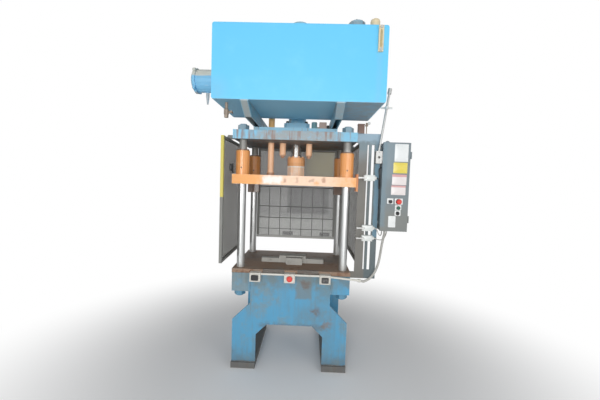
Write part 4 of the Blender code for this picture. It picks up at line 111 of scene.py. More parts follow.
@dataclass
class Shell:
    """A mesh in the making: points and faces held as whole arrays."""

    points: Array
    faces: list[Array]

    @staticmethod
    def grid(points: Array, wrap_u: bool = False, wrap_v: bool = False) -> "Shell":
        """Join a grid of points P(u, v) with quads.

        Args:
            points: An array of shape (nu, nv, 3).
            wrap_u: Whether the last row meets the first.
            wrap_v: Whether the last column meets the first.

        Returns:
            The shell with one quad for each cell.
        """
        nu, nv = points.shape[:2]
        index = np.arange(nu * nv).reshape(nu, nv)
        if wrap_u:
            index = np.vstack((index, index[:1]))
        if wrap_v:
            index = np.hstack((index, index[:, :1]))
        a, b = index[:-1, :-1], index[1:, :-1]
        c, d = index[1:, 1:], index[:-1, 1:]
        faces = np.stack((a, b, c, d), -1).reshape(-1, 4)
        return Shell(points.reshape(-1, 3).astype(float), [faces])

    def moved(self, offset: Array) -> "Shell":
        """The same shell at another place."""
        return Shell(self.points + np.asarray(offset, float), self.faces)

    def turned(self, matrix: Array) -> "Shell":
        """The same shell turned about the origin by a 3 by 3 matrix."""
        return Shell(self.points @ np.asarray(matrix).T, self.faces)

    def facing(self, way: Facing) -> "Shell":
        """The same shell with its own +Z turned to look one way."""
        return self.turned(way.matrix())

    def repeated(self, places: Array) -> "Shell":
        """Copies of the shell at every place, as one shell.

        Args:
            places: An array of shape (n, 3).

        Returns:
            The joined copies, point i of copy k being the point plus place k.
        """
        places = np.asarray(places, float).reshape(-1, 3)
        count = len(self.points)
        points = (self.points[None] + places[:, None]).reshape(-1, 3)
        shift = (np.arange(len(places)) * count)[:, None, None]
        faces = [(part[None] + shift).reshape(-1, part.shape[1]) for part in self.faces]
        return Shell(points, faces)

    @staticmethod
    def joined(parts: list["Shell"]) -> "Shell":
        """Several shells as one."""
        start = 0
        points, faces = [], []
        for part in parts:
            points.append(part.points)
            faces += [group + start for group in part.faces]
            start += len(part.points)
        return Shell(np.vstack(points), faces)

    def mesh(self, name: str, angle: float = 35.0) -> bpy.types.Mesh:
        """Make the Blender mesh: doubles merged, normals outward, round faces smooth.

        Args:
            name: The mesh's name.
            angle: Edges sharper than this many degrees stay sharp.

        Returns:
            The finished mesh.
        """
        mesh = bpy.data.meshes.new(name)
        faces = [row.tolist() for group in self.faces for row in group]
        mesh.from_pydata(self.points.tolist(), [], faces)
        work = bmesh.new()
        work.from_mesh(mesh)
        bmesh.ops.remove_doubles(work, verts=work.verts, dist=0.000004)
        bmesh.ops.dissolve_degenerate(work, edges=work.edges, dist=0.000002)
        bmesh.ops.recalc_face_normals(work, faces=work.faces)
        work.to_mesh(mesh)
        work.free()
        mesh.shade_smooth()
        mesh.set_sharp_from_angle(angle=math.radians(angle))
        return mesh


def lathe(profile: list[Pair], sides: int = 32) -> Shell:
    """Turn a profile about Z.

    P(u, v) = (r(u) cos v, r(u) sin v, h(u)), with v going once round.

    Args:
        profile: Pairs of radius and height; a radius of zero closes an end.
        sides: How many steps go round.

    Returns:
        The turned shell.
    """
    radius, height = np.array(profile, float).T
    turn = np.linspace(0.0, 2.0 * np.pi, sides, endpoint=False)
    x = radius[:, None] * np.cos(turn)
    y = radius[:, None] * np.sin(turn)
    z = np.broadcast_to(height[:, None], x.shape)
    return Shell.grid(np.stack((x, y, z), -1), wrap_v=True)


def slab(size: Point, round_by: float, edge: float) -> Shell:
    """A flat block with rounded corners and a soft front edge, standing from z = 0 upward.

    Its outline is a rectangle whose corners are quarter circles; the outline shrinks by the
    edge's width over the last step of height, and closes to its middle at both ends.

    Args:
        size: Width, length and thickness.
        round_by: Radius of the corners.
        edge: Width of the soft edge round the front face.

    Returns:
        The block as a shell.
    """
    width, length, thick = size
    radius = max(round_by, edge * 1.05)
    corner = np.linspace(0.0, 0.5 * np.pi, CORNER_STEPS)
    turn = np.concatenate([corner + 0.5 * np.pi * k for k in range(4)])
    sx = np.repeat((1.0, -1.0, -1.0, 1.0), CORNER_STEPS)
    sy = np.repeat((1.0, 1.0, -1.0, -1.0), CORNER_STEPS)
    levels = ((0.0, 0.0), (0.0, thick - edge), (0.3 * edge, thick - 0.3 * edge), (edge, thick))
    rows = [np.zeros((len(turn), 3))]
    for inset, height in levels:
        x = sx * (0.5 * width - radius) + (radius - inset) * np.cos(turn)
        y = sy * (0.5 * length - radius) + (radius - inset) * np.sin(turn)
        rows.append(np.stack((x, y, np.full_like(x, height)), -1))
    rows.append(np.full_like(rows[0], (0.0, 0.0, thick)))
    return Shell.grid(np.array(rows), wrap_v=True)


def hexagon(flats: float, height: float) -> Shell:
    """A hexagon head with a chamfered crown, standing from z = 0 upward."""
    radius = 0.5 * flats / math.cos(math.pi / 6.0)
    side = (1.0 - HEAD_CROWN) * height
    return lathe([(0.0, 0.0), (radius, 0.0), (radius, side), (0.86 * radius, height), (0.0, height)], 6)


def socket_screw(diameter: float, height: float) -> Shell:
    """A round screw head with a sunk hexagon, drawn as a dish."""
    r = 0.5 * diameter
    profile = [
        (0.0, 0.0), (r, 0.0), (r, 0.85 * height), (0.9 * r, height), (0.5 * r, height),
        (0.46 * r, 0.45 * height), (0.0, 0.4 * height),
    ]
    return lathe(profile, 18)


def pan_screw(diameter: float) -> Shell:
    """A small domed screw head."""
    r = 0.5 * diameter
    return lathe([(0.0, 0.0), (r, 0.0), (0.96 * r, 0.22 * r), (0.7 * r, 0.42 * r), (0.0, 0.55 * r)], 14)


def catmull(knots: list[Array], count: int) -> Array:
    """Even samples of a smooth curve through the knots.

    Each span is the cubic that passes through its two knots and leans along its neighbours.

    Args:
        knots: The points that the curve passes.
        count: How many samples to return.

    Returns:
        An array of shape (count, 3).
    """
    p = np.array(knots, float)
    p = np.vstack((2.0 * p[0] - p[1], p, 2.0 * p[-1] - p[-2]))
    spans = len(p) - 3
    s = np.linspace(0.0, spans, 40 * spans + 1)
    i = np.minimum(s.astype(int), spans - 1)
    t = (s - i)[:, None]
    a, b, c, d = p[i], p[i + 1], p[i + 2], p[i + 3]
    square, cube = 2.0 * a - 5.0 * b + 4.0 * c - d, 3.0 * b - a - 3.0 * c + d
    curve = 0.5 * (2.0 * b + (c - a) * t + square * t**2 + cube * t**3)
    run = np.concatenate(([0.0], np.cumsum(np.linalg.norm(np.diff(curve, axis=0), axis=1))))
    want = np.linspace(0.0, run[-1], count)
    return np.stack([np.interp(want, run, curve[:, k]) for k in range(3)], -1)


def tube(path: Array, radius: Array | float, sides: int) -> Shell:
    """Carry a circle along a path and close its ends.

    P(u, v) = path(u) + r(u) (n cos v + b sin v), where n and b stand square to the path and
    turn with it as little as they can.

    Args:
        path: The middle line, an array of shape (n, 3).
        radius: One radius or one for each point.
        sides: Steps round the circle.

    Returns:
        The tube as a shell.
    """
    count = len(path)
    radii = np.broadcast_to(np.asarray(radius, float), (count,))
    ahead = np.gradient(path, axis=0)
    ahead /= np.linalg.norm(ahead, axis=1)[:, None]
    normal = np.zeros_like(path)
    start = np.cross(ahead[0], (0.0, 0.0, 1.0))
    if np.linalg.norm(start) < 0.2:
        start = np.cross(ahead[0], (0.0, 1.0, 0.0))
    normal[0] = start / np.linalg.norm(start)
    for k in range(1, count):
        turned = normal[k - 1] - ahead[k] * (normal[k - 1] @ ahead[k])
        normal[k] = turned / np.linalg.norm(turned)
    other = np.cross(ahead, normal)
    turn = np.linspace(0.0, 2.0 * np.pi, sides, endpoint=False)
    ring = normal[:, None] * np.cos(turn)[None, :, None] + other[:, None] * np.sin(turn)[None, :, None]
    points = path[:, None] + radii[:, None, None] * ring
    first, last = (np.broadcast_to(path[k], (1, sides, 3)) for k in (0, -1))
    return Shell.grid(np.vstack((first, points, last)), wrap_v=True)


def bead(path: Array, width: float, seed: int) -> Shell:
    """A weld bead: a tube whose radius swells and sinks along its run like laid ripples."""
    steps = len(path)
    along = np.linspace(0.0, steps / 3.0, steps)
    rng = np.random.default_rng(seed)
    ripple = 1.0 + 0.12 * np.sin(2.0 * np.pi * along) + 0.10 * rng.standard_normal(steps)
    return tube(path, 0.5 * width * np.clip(ripple, 0.7, 1.3), 6)


def line(start: Array, end: Array, count: int) -> Array:
    """Evenly spaced points from start to end."""
    share = np.linspace(0.0, 1.0, count)[:, None]
    return np.asarray(start)[None] * (1.0 - share) + np.asarray(end)[None] * share


def seam(start: Point, end: Point, count: int, width: float, seed: int) -> Shell:
    """A straight weld bead between two points of the press's own axes."""
    return bead(line(place(*start), place(*end), count), width, seed)


class Group:
    """A shader node group with named sockets, built once."""

    def __init__(self, name: str) -> None:
        """Start an empty group.

        Args:
            name: The group's name in plain words.
        """
        self.tree = bpy.data.node_groups.new(name, "ShaderNodeTree")
        self.source = self.tree.nodes.new("NodeGroupInput")
        self.sink = self.tree.nodes.new("NodeGroupOutput")

    def values_in(self, *names: str) -> list[Socket]:
        """Add number inputs and return their sockets inside the group; every user feeds them all."""
        for name in names:
            self.tree.interface.new_socket(name, in_out="INPUT", socket_type="NodeSocketFloat")
        return [self.source.outputs[name] for name in names]

    def put_out(self, name: str, socket: Socket) -> None:
        """Add a number output that carries a socket of the group."""
        self.tree.interface.new_socket(name, in_out="OUTPUT", socket_type="NodeSocketFloat")
        self.tree.links.new(socket, self.sink.inputs[name])


class Nodes:
    """Short ways to lay nodes in one tree."""

    def __init__(self, tree: bpy.types.NodeTree) -> None:
        """Keep the tree that the nodes go into."""
        self.tree = tree

    def add(self, kind: str, *fed: object, **values: object) -> bpy.types.Node:
        """Add a node, set its own properties and feed its first inputs in their order."""
        node = self.tree.nodes.new(kind)
        for key, value in values.items():
            setattr(node, key, value)
        for socket, value in zip(node.inputs, fed):
            self.feed(socket, value)
        return node

    def fill(self, node: bpy.types.Node, **values: object) -> bpy.types.Node:
        """Feed a node's inputs by name, with underscores for spaces."""
        for key, value in values.items():
            self.feed(node.inputs[key.replace("_", " ")], value)
        return node

    def feed(self, socket: Socket, value: object) -> None:
        """Link a socket, or set its value when it isn't a socket."""
        if isinstance(value, Socket):
            self.tree.links.new(value, socket)
        elif value is not None:
            if socket.type == "RGBA" and len(value) == 3:
                value = (*value, 1.0)
            socket.default_value = value

    def math(self, kind: str, a: object, b: object) -> Socket:
        """One sum of two values."""
        return self.add("ShaderNodeMath", a, b, operation=kind).outputs[0]

    def times(self, a: object, b: object) -> Socket:
        """a times b."""
        return self.math("MULTIPLY", a, b)

    def plus(self, a: object, b: object) -> Socket:
        """a plus b."""
        return self.math("ADD", a, b)

    def minus(self, a: object, b: object) -> Socket:
        """a less b."""
        return self.math("SUBTRACT", a, b)

    def axes(self, vector: object) -> bpy.types.bpy_prop_collection:
        """The X, Y and Z of a vector, as three sockets."""
        return self.add("ShaderNodeSeparateXYZ", vector).outputs

    def bump(self, shader: bpy.types.Node, height: object, strength: float, distance: float) -> None:
        """Let a height tilt a shader's normal."""
        node = self.fill(self.add("ShaderNodeBump"), Strength=strength, Distance=distance, Height=height)
        self.fill(shader, Normal=node.outputs[0])

    def ramp(self, value: object, low: object, high: object) -> Socket:
        """A value taken smoothly from low..high to 0..1."""
        node = self.add("ShaderNodeMapRange", interpolation_type="SMOOTHSTEP")
        return self.fill(node, Value=value, From_Min=low, From_Max=high).outputs["Result"]

    def mix(self, share: object, a: object, b: object) -> Socket:
        """Two colours mixed by a share."""
        node = self.add("ShaderNodeMix", share, data_type="RGBA")
        self.feed(node.inputs[6], a)
        self.feed(node.inputs[7], b)
        return node.outputs[2]

    def object_place(self) -> Socket:
        """The object coordinates, which are metres of the shared frame."""
        return self.add("ShaderNodeTexCoord").outputs["Object"]

    def stretched(self, vector: object, scale: Point) -> Socket:
        """Coordinates stretched along the axes."""
        return self.add("ShaderNodeVectorMath", vector, scale, operation="MULTIPLY").outputs[0]

    def noise(self, vector: object, scale: object, detail: float = 4.0, rough: float = 0.55) -> Socket:
        """A cloud pattern's value."""
        node = self.add("ShaderNodeTexNoise")
        return self.fill(node, Vector=vector, Scale=scale, Detail=detail, Roughness=rough).outputs["Fac"]

    def use(self, group: Group, **values: object) -> Socket:
        """Place a group, feed its inputs by name and return its output."""
        return self.fill(self.add("ShaderNodeGroup", node_tree=group.tree), **values).outputs[0]

    def blend(self, share: object, first: bpy.types.Node, second: bpy.types.Node, end: bpy.types.Node) -> None:
        """Send two shaders, mixed by a share, to an output node."""
        node = self.add("ShaderNodeMixShader", share, first.outputs[0], second.outputs[0])
        self.fill(end, Surface=node.outputs[0])


def new_material(name: str) -> tuple[bpy.types.Material, Nodes, bpy.types.Node]:
    """Start a material, and return it with its nodes and its main shader."""
    material = bpy.data.materials.new(name)
    material.use_nodes = True
    return material, Nodes(material.node_tree), material.node_tree.nodes["Principled BSDF"]


def make_patches() -> Group:
    """Blotches: cloud noise bent by a second cloud, cut at a level set by Amount."""
    group = Group("Blotches")
    size, amount, soft = group.values_in("Size", "Amount", "Soft")
    n = Nodes(group.tree)
    spot = n.object_place()
    base = n.noise(spot, size, 7.0, 0.62)
    fine = n.noise(spot, n.times(size, 7.0), 3.0, 0.6)
    blend = n.plus(n.times(base, 0.8), n.times(fine, 0.2))
    level = n.minus(0.72, n.times(amount, 0.45))
    group.put_out("Mask", n.ramp(blend, level, n.plus(level, soft)))
    return group


def make_runs() -> Group:
    """Streaks that run down: cloud noise drawn out along Z and cut at a level set by Amount."""
    group = Group("Runs down")
    size, amount, soft = group.values_in("Size", "Amount", "Soft")
    n = Nodes(group.tree)
    spot = n.object_place()
    thin = n.noise(n.stretched(spot, (1.0, 1.0, 0.06)), size, 5.0, 0.65)
    broad = n.noise(n.stretched(spot, (1.0, 1.0, 0.45)), n.times(size, 0.28), 3.0, 0.5)
    blend = n.plus(n.times(thin, 0.62), n.times(broad, 0.38))
    level = n.minus(0.70, n.times(amount, 0.42))
    group.put_out("Mask", n.ramp(blend, level, n.plus(level, soft)))
    return group


def make_edges() -> Group:
    """Rubbed edges: where a rounded normal leaves the flat one, broken up by cloud noise."""
    group = Group("Rubbed edges")
    width, amount = group.values_in("Width", "Amount")
    n = Nodes(group.tree)
    rounded = n.add("ShaderNodeBevel", width, samples=4).outputs[0]
    flat = n.add("ShaderNodeNewGeometry").outputs["Normal"]
    dot = n.add("ShaderNodeVectorMath", rounded, flat, operation="DOT_PRODUCT")
    leave = n.minus(1.0, dot.outputs["Value"])
    chips = n.noise(n.object_place(), 38.0, 5.0, 0.65)
    want = n.minus(0.75, n.times(amount, 0.5))
    broken = n.ramp(chips, want, n.plus(want, 0.12))
    group.put_out("Mask", n.times(n.ramp(leave, 0.015, 0.09), broken))
    return group


def make_grain() -> Group:
    """Surface height: orange-peel ripples with fine pits."""
    group = Group("Paint skin")
    (size,) = group.values_in("Size")
    n = Nodes(group.tree)
    spot = n.object_place()
    ripple = n.noise(spot, size, 2.0, 0.5)
    dimple = n.noise(spot, n.times(size, 5.0), 2.0, 0.7)
    group.put_out("Height", n.plus(n.times(ripple, 0.7), n.times(dimple, 0.3)))
    return group


def make_band() -> Group:
    """A soft box in space: 1 inside the limits, with a ragged border."""
    group = Group("Place mask")
    limits = group.values_in("Low X", "High X", "Low Y", "High Y", "Low Z", "High Z")
    soft, ragged, size = group.values_in("Soft", "Ragged", "Size")
    n = Nodes(group.tree)
    spot = n.object_place()
    cloud = n.minus(n.noise(spot, size, 6.0, 0.6), 0.5)
    shake = n.times(cloud, n.times(ragged, 4.0))
    axes, half = n.axes(spot), n.times(soft, 0.5)
    result: object = 1.0
    for axis, low, high in zip(axes, limits[::2], limits[1::2]):
        value = n.plus(axis, shake)
        rise = n.ramp(value, n.minus(low, half), n.plus(low, half))
        fall = n.ramp(value, n.plus(high, half), n.minus(high, half))
        result = n.times(result, n.times(rise, fall))
    group.put_out("Mask", result)
    return group


@dataclass
class ShaderKit:
    """The shader groups that the finishes share."""

    blotches: Group = field(default_factory=make_patches)
    runs: Group = field(default_factory=make_runs)
    edges: Group = field(default_factory=make_edges)
    skin: Group = field(default_factory=make_grain)
    band: Group = field(default_factory=make_band)


@dataclass(frozen=True)
class Zone:
    """A painted, worn or dirty place on a piece, or a place of painted light, given by limits in the press's own
    axes.
    """

    colour: Colour
    x: Pair = (-9.0, 9.0)
    y: Pair = (-9.0, 9.0)
    z: Pair = (-9.0, 9.0)
    soft: float = 0.02
    ragged: float = 0.0
    size: float = 14.0
    strength: float = 0.8
    roughness: float | None = None

    def mask(self, n: Nodes, kit: ShaderKit) -> Socket:
        """The share of the zone's colour at each point."""
        band = n.use(
            kit.band, Low_X=self.x[0] + AXIS_X, High_X=self.x[1] + AXIS_X, Low_Y=self.y[0] + AXIS_Y,
            High_Y=self.y[1] + AXIS_Y, Low_Z=self.z[0], High_Z=self.z[1], Soft=self.soft, Ragged=self.ragged,
            Size=self.size,
        )
        return n.times(band, self.strength)


# How much of their colour the runs, the rust and the rubbed edges give, how far the rust sinks
# into the paint's skin, and how deep that skin's ripples are, in metres.
RUN_SHARE, RUST_SHARE, RUB_SHARE = 0.75, 0.85, 0.8
RUST_DEPTH = 0.6
SKIN_DEPTH = 0.002


@dataclass(frozen=True)
class Finish:
    """A worn coat: paint with fading, dirt, rust runs, rubbed edges and placed zones."""

    name: str
    paint: Colour
    shade: Colour
    rust: Colour = (0.16, 0.075, 0.04)
    bare: Colour = (0.34, 0.33, 0.31)
    fading: float = 0.5
    fading_size: float = 26.0
    rusting: float = 0.12
    rust_size: float = 9.0
    runs: float = 0.0
    runs_size: float = 34.0
    runs_soft: float = 0.10
    runs_colour: Colour = (0.20, 0.10, 0.06)
    edge: float = 0.5
    edge_width: float = 0.004
    roughness: float = 0.5
    rough_spread: float = 0.15
    metallic: float = 0.0
    bump: float = 0.12
    skin_size: float = 90.0
    coat: float = 0.0
    zones: tuple[Zone, ...] = ()

    def build(self, kit: ShaderKit) -> bpy.types.Material:
        """Make the material of this finish.

        Args:
            kit: The shared shader groups.

        Returns:
            A material whose nodes give colour, roughness, metal and height.
        """
        material, n, shader = new_material(self.name)
        fade = n.use(kit.blotches, Size=self.fading_size, Amount=self.fading, Soft=0.25)
        colour: object = n.mix(fade, self.paint, self.shade)
        rough: object = n.plus(n.times(fade, self.rough_spread), self.roughness)
        for zone in self.zones:
            mask = zone.mask(n, kit)
            colour = n.mix(mask, colour, zone.colour)
            if zone.roughness is not None:
                rough = n.plus(n.times(rough, n.minus(1.0, mask)), n.times(mask, zone.roughness))
        metal: object = None
        if self.runs > 0.0:
            run = n.use(kit.runs, Size=self.runs_size, Amount=self.runs, Soft=self.runs_soft)
            colour = n.mix(n.times(run, RUN_SHARE), colour, self.runs_colour)
            rough = n.plus(rough, n.times(run, 0.1))
        rust = n.use(kit.blotches, Size=self.rust_size, Amount=self.rusting, Soft=0.05)
        colour = n.mix(n.times(rust, RUST_SHARE), colour, self.rust)
        rough = n.plus(rough, n.times(rust, 0.2))
        if self.edge > 0.0:
            rub = n.use(kit.edges, Width=self.edge_width, Amount=self.edge)
            colour = n.mix(n.times(rub, RUB_SHARE), colour, self.bare)
            metal = n.times(rub, 0.6)
        if self.metallic > 0.0:
            metal = n.times(n.minus(1.0, n.times(rust, 0.8)), self.metallic)
        rough = n.math("MINIMUM", rough, 1.0)
        n.fill(shader, Base_Color=colour, Roughness=rough, Metallic=metal, Coat_Weight=self.coat)
        height = n.minus(n.use(kit.skin, Size=self.skin_size), n.times(rust, RUST_DEPTH))
        n.bump(shader, height, self.bump, SKIN_DEPTH)
        return material


@dataclass(frozen=True)
class Chrome:
    """Polished round bar: bright metal, faint rings of wear, oil film and stained ends."""

    name: str
    roughness: float
    stained_from: float
    stained_to: float
    colour: Colour = (0.88, 0.88, 0.86)
    stain: Colour = (0.10, 0.085, 0.06)
    streaks: float = 0.35
    zones: tuple[Zone, ...] = ()

    def build(self, kit: ShaderKit) -> bpy.types.Material:
        """Make the material: long streaks along Z dull it, and stains gather near two heights."""
        material, n, shader = new_material(self.name)
        run = n.use(kit.runs, Size=60.0, Amount=self.streaks, Soft=0.3)
        spots = n.use(kit.blotches, Size=24.0, Amount=0.25, Soft=0.1)
        wave = n.times(n.noise(n.object_place(), 18.0), 0.12)
        level = n.plus(n.axes(n.object_place())[2], wave)
        low = n.ramp(level, self.stained_from + 0.16, self.stained_from)
        high = n.ramp(level, self.stained_to - 0.10, self.stained_to + 0.02)
        ends = n.math("MAXIMUM", n.times(low, 0.7), n.times(high, 0.8))
        dirt = n.math("MINIMUM", n.plus(n.times(run, 0.25), ends), 1.0)
        colour = n.mix(n.times(dirt, 0.8), self.colour, self.stain)
        colour = n.mix(n.times(spots, 0.35), colour, (0.30, 0.27, 0.22))
        rough = n.plus(n.plus(self.roughness, n.times(dirt, 0.35)), n.times(spots, 0.08))
        metal = n.minus(0.86, n.times(dirt, 0.4))
        for zone in self.zones:
            mask = zone.mask(n, kit)
            free = n.minus(1.0, mask)
            colour = n.mix(mask, colour, zone.colour)
            rough = n.plus(n.times(rough, free), n.times(mask, 0.5))
            metal = n.times(metal, free)
        n.fill(shader, Base_Color=colour, Roughness=rough, Metallic=metal)
        n.bump(shader, n.noise(n.stretched(n.object_place(), (1.0, 1.0, 8.0)), 40.0, 3.0), 0.03, 0.001)
        return material


@dataclass(frozen=True)
class Mesh2d:
    """Sizes of a flattened expanded mesh: cell width and height, strand width and depth."""

    cell: float = 0.018
    rise: float = 0.009
    strand: float = 0.0078
    depth: float = 0.00288

    def sheet(self, width: float, height: float) -> Shell:
        """Strands in a diamond lattice over a width by height field, in local X and Z.

        Strand j runs along X with z(i, j) = z_j + a (-1)^(i + j), so that its peaks touch the
        valleys of the strand above. Each is carried by a flat four-cornered section.

        Args:
            width: Size along local X.
            height: Size along local Z.

        Returns:
            The lattice, centred on the origin in the plane y = 0.
        """
        columns = max(4, int(round(2.0 * width / self.cell)))
        rows = max(4, int(round(height / self.rise)))
        x = np.linspace(-0.5 * width, 0.5 * width, columns + 1)
        step = height / rows
        amplitude = 0.5 * step - 0.5 * self.strand
        i = np.arange(columns + 1)
        section = np.array(((0.0, -0.5), (-0.5, 0.0), (0.0, 0.5), (0.5, 0.0)))
        shells = []
        for j in range(rows):
            z = -0.5 * height + (j + 0.5) * step + amplitude * (-1.0) ** (i + j)
            lattice = np.broadcast_arrays(x, section[:, :1] * self.depth, z[None, :] + section[:, 1:] * self.strand)
            shells.append(Shell.grid(np.stack(lattice, -1), wrap_u=True))
        return Shell.joined(shells)


def bar(low: Array, high: Array, edge: float) -> Shell:
    """A square bar between two corners with narrow chamfers on all its long edges.

    The bar lies along its longest side; its section is a square with cut corners.
    """
    low, high = np.asarray(low, float), np.asarray(high, float)
    size = high - low
    axis = int(np.argmax(size))
    others = [k for k in range(3) if k != axis]
    a, b = size[others[0]], size[others[1]]
    edge = min(edge, 0.3 * a, 0.3 * b)
    u = np.array((edge, a - edge, a, a, a - edge, edge, 0.0, 0.0))
    v = np.array((0.0, 0.0, edge, b - edge, b, b, b - edge, edge))
    ring = np.zeros((8, 3))
    ring[:, others[0]] = low[others[0]] + u
    ring[:, others[1]] = low[others[1]] + v
    middle, rows = ring.mean(0), []
    for share, squeeze in ((0.0, 0.0), (0.0, 1.0), (1.0, 1.0), (1.0, 0.0)):
        row = middle + (ring - middle) * squeeze
        row[:, axis] = low[axis] + share * size[axis]
        rows.append(row)
    return Shell.grid(np.array(rows), wrap_v=True)


def pierced_plate(size: Pair, hole: float, thick: float) -> Shell:
    """A rounded plate with a round hole in its middle, standing from z = 0 upward.

    Each spoke runs from the hole's rim to the outline of a rounded square at the same turn, over
    the front, the rim and the back.
    """
    turn = np.linspace(0.0, 2.0 * np.pi, 48, endpoint=False)
    power = 10.0
    across = np.abs(2.0 * np.cos(turn) / size[0]) ** power
    along = np.abs(2.0 * np.sin(turn) / size[1]) ** power
    reach = (across + along) ** (-1.0 / power)
    edge = 0.3 * thick
    inner = np.full_like(turn, 0.5 * hole)
    rings = ((inner, 0.0), (inner, thick), (reach - edge, thick), (reach, thick - edge), (reach, 0.0))
    rows = [np.stack((r * np.cos(turn), r * np.sin(turn), np.full_like(turn, h)), -1) for r, h in rings]
    return Shell.grid(np.array(rows), wrap_u=True, wrap_v=True)


Coat = Finish | Chrome


@dataclass
class Workshop:
    """Where pieces are made: the shared groups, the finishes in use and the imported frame."""

    kit: ShaderKit
    frame: dict
    stock: dict[str, bpy.types.Material] = field(default_factory=dict)

    def coat(self, finish: Coat) -> bpy.types.Material:
        """The material of a finish, made once."""
        if finish.name not in self.stock:
            self.stock[finish.name] = finish.build(self.kit)
        return self.stock[finish.name]

    def dress(self, node: str, finish: Coat) -> None:
        """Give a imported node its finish."""
        item = self.frame["nodes"][node]
        item.data.materials.clear()
        item.data.materials.append(self.coat(finish))
        LOG.info("dressed %s", node)

    def dress_all(self, finishes: dict[str, Coat]) -> None:
        """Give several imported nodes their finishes."""
        for node, finish in finishes.items():
            self.dress(node, finish)

    def add(self, name: str, shell: Shell, slot: str, finish: Coat, body: str = "frame", angle: float = 35.0,
            instead_of: tuple[str, ...] = ()) -> bpy.types.Object:
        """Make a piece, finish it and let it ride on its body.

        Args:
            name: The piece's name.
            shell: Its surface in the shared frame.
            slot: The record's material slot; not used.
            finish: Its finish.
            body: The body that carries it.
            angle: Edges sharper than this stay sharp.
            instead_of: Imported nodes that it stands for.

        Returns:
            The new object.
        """
        item = bpy.data.objects.new(name, shell.mesh(name, angle))
        link(item)
        item.data.materials.append(self.coat(finish))
        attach(item, body)
        if instead_of:
            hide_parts(*instead_of)
        LOG.info("made %s with %d faces", name, len(item.data.polygons))
        return item


# Where the zones lie along Y: the base's and the platen's front faces, and the rear guard's mesh.
BASE_FRONT = (-0.4, -0.3)
PLATEN_FRONT = (-0.4, -0.36)
REAR_MESH = (0.36, 0.45)

# Finishes of one family start from shared values: moulded plastic, cable skin and the door's bare plates.
moulded = partial(
    Finish, fading=0.4, fading_size=28.0, rusting=0.0, edge=0.3, edge_width=0.0015, bump=0.05, skin_size=300.0,
)
cable_skin = partial(Finish, fading_size=20.0, edge=0.0, bump=0.08, skin_size=300.0)
plate_paint = partial(Finish, rusting=0.02, rust_size=50.0, edge=0.0, roughness=0.35, bump=0.02)

TANK = Finish(
    "tank_shell_blue", (0.13, 0.55, 0.86), (0.19, 0.61, 0.9), rust=(0.32, 0.2, 0.12), bare=(0.42, 0.62, 0.74),
    fading_size=1.6, rusting=0.02, rust_size=26.0, runs=0.06, runs_size=22.0, runs_colour=(0.19, 0.46, 0.68),
    edge=0.25, edge_width=0.003, roughness=0.42, rough_spread=0.1, bump=0.1, skin_size=60.0,
    zones=(
        Zone((0.3, 0.4, 0.42), x=(-0.62, -0.46), y=(-0.91, -0.85), z=(2.2, 2.34), soft=0.12, ragged=0.03,
             strength=0.3),
        Zone((0.33, 0.4, 0.4), x=(0.565, 0.595), y=(-0.93, -0.85), z=(2.2, 2.56), soft=0.03, ragged=0.012,
             strength=0.12),
        Zone((0.27, 0.33, 0.34), z=(2.19, 2.2115), soft=0.002, strength=0.45),
        Zone((0.3, 0.285, 0.27), x=(0.37, 0.62), z=(2.19, 2.2095), soft=0.012, ragged=0.004),
    ),
)
BEAM = Finish(
    "beam_blue", (0.16, 0.37, 0.49), (0.31, 0.33, 0.33), bare=(0.42, 0.52, 0.58), fading=0.6, fading_size=3.0,
    runs=0.25, edge=0.9, edge_width=0.007,
    zones=(
        Zone((0.38, 0.375, 0.345), x=(-0.354, -0.31), y=(-1.0, -0.36), soft=0.006, ragged=0.001, strength=0.75),
    ),
)
CROWN = Finish(
    "crown_blue", (0.24, 0.54, 0.73), (0.37, 0.49, 0.53), rust=(0.27, 0.15, 0.1), bare=(0.42, 0.46, 0.47),
    fading_size=4.0, rusting=0.16, rust_size=16.0, runs=0.52, runs_size=44.0, runs_colour=(0.33, 0.2, 0.15),
    edge=0.6, edge_width=0.005, roughness=0.52,
    zones=(
        Zone((0.4, 0.34, 0.29), x=(-0.33, 0.36), z=(1.99, 2.11), soft=0.16, ragged=0.09, size=20.0),
        Zone((0.28, 0.6, 0.8), x=(-0.54, -0.38), z=(2.0, 2.11), soft=0.06, ragged=0.03, strength=0.6),
        Zone((0.15, 0.13, 0.11), z=(1.99, 2.0145), soft=0.002, strength=0.65),
    ),
)
TOP = Finish(
    "top_plate_blue", (0.28, 0.53, 0.67), (0.38, 0.46, 0.48), fading_size=6.0, rusting=0.18, rust_size=18.0,
    runs=0.35, runs_size=40.0, runs_colour=(0.3, 0.2, 0.15), edge=0.6,
)
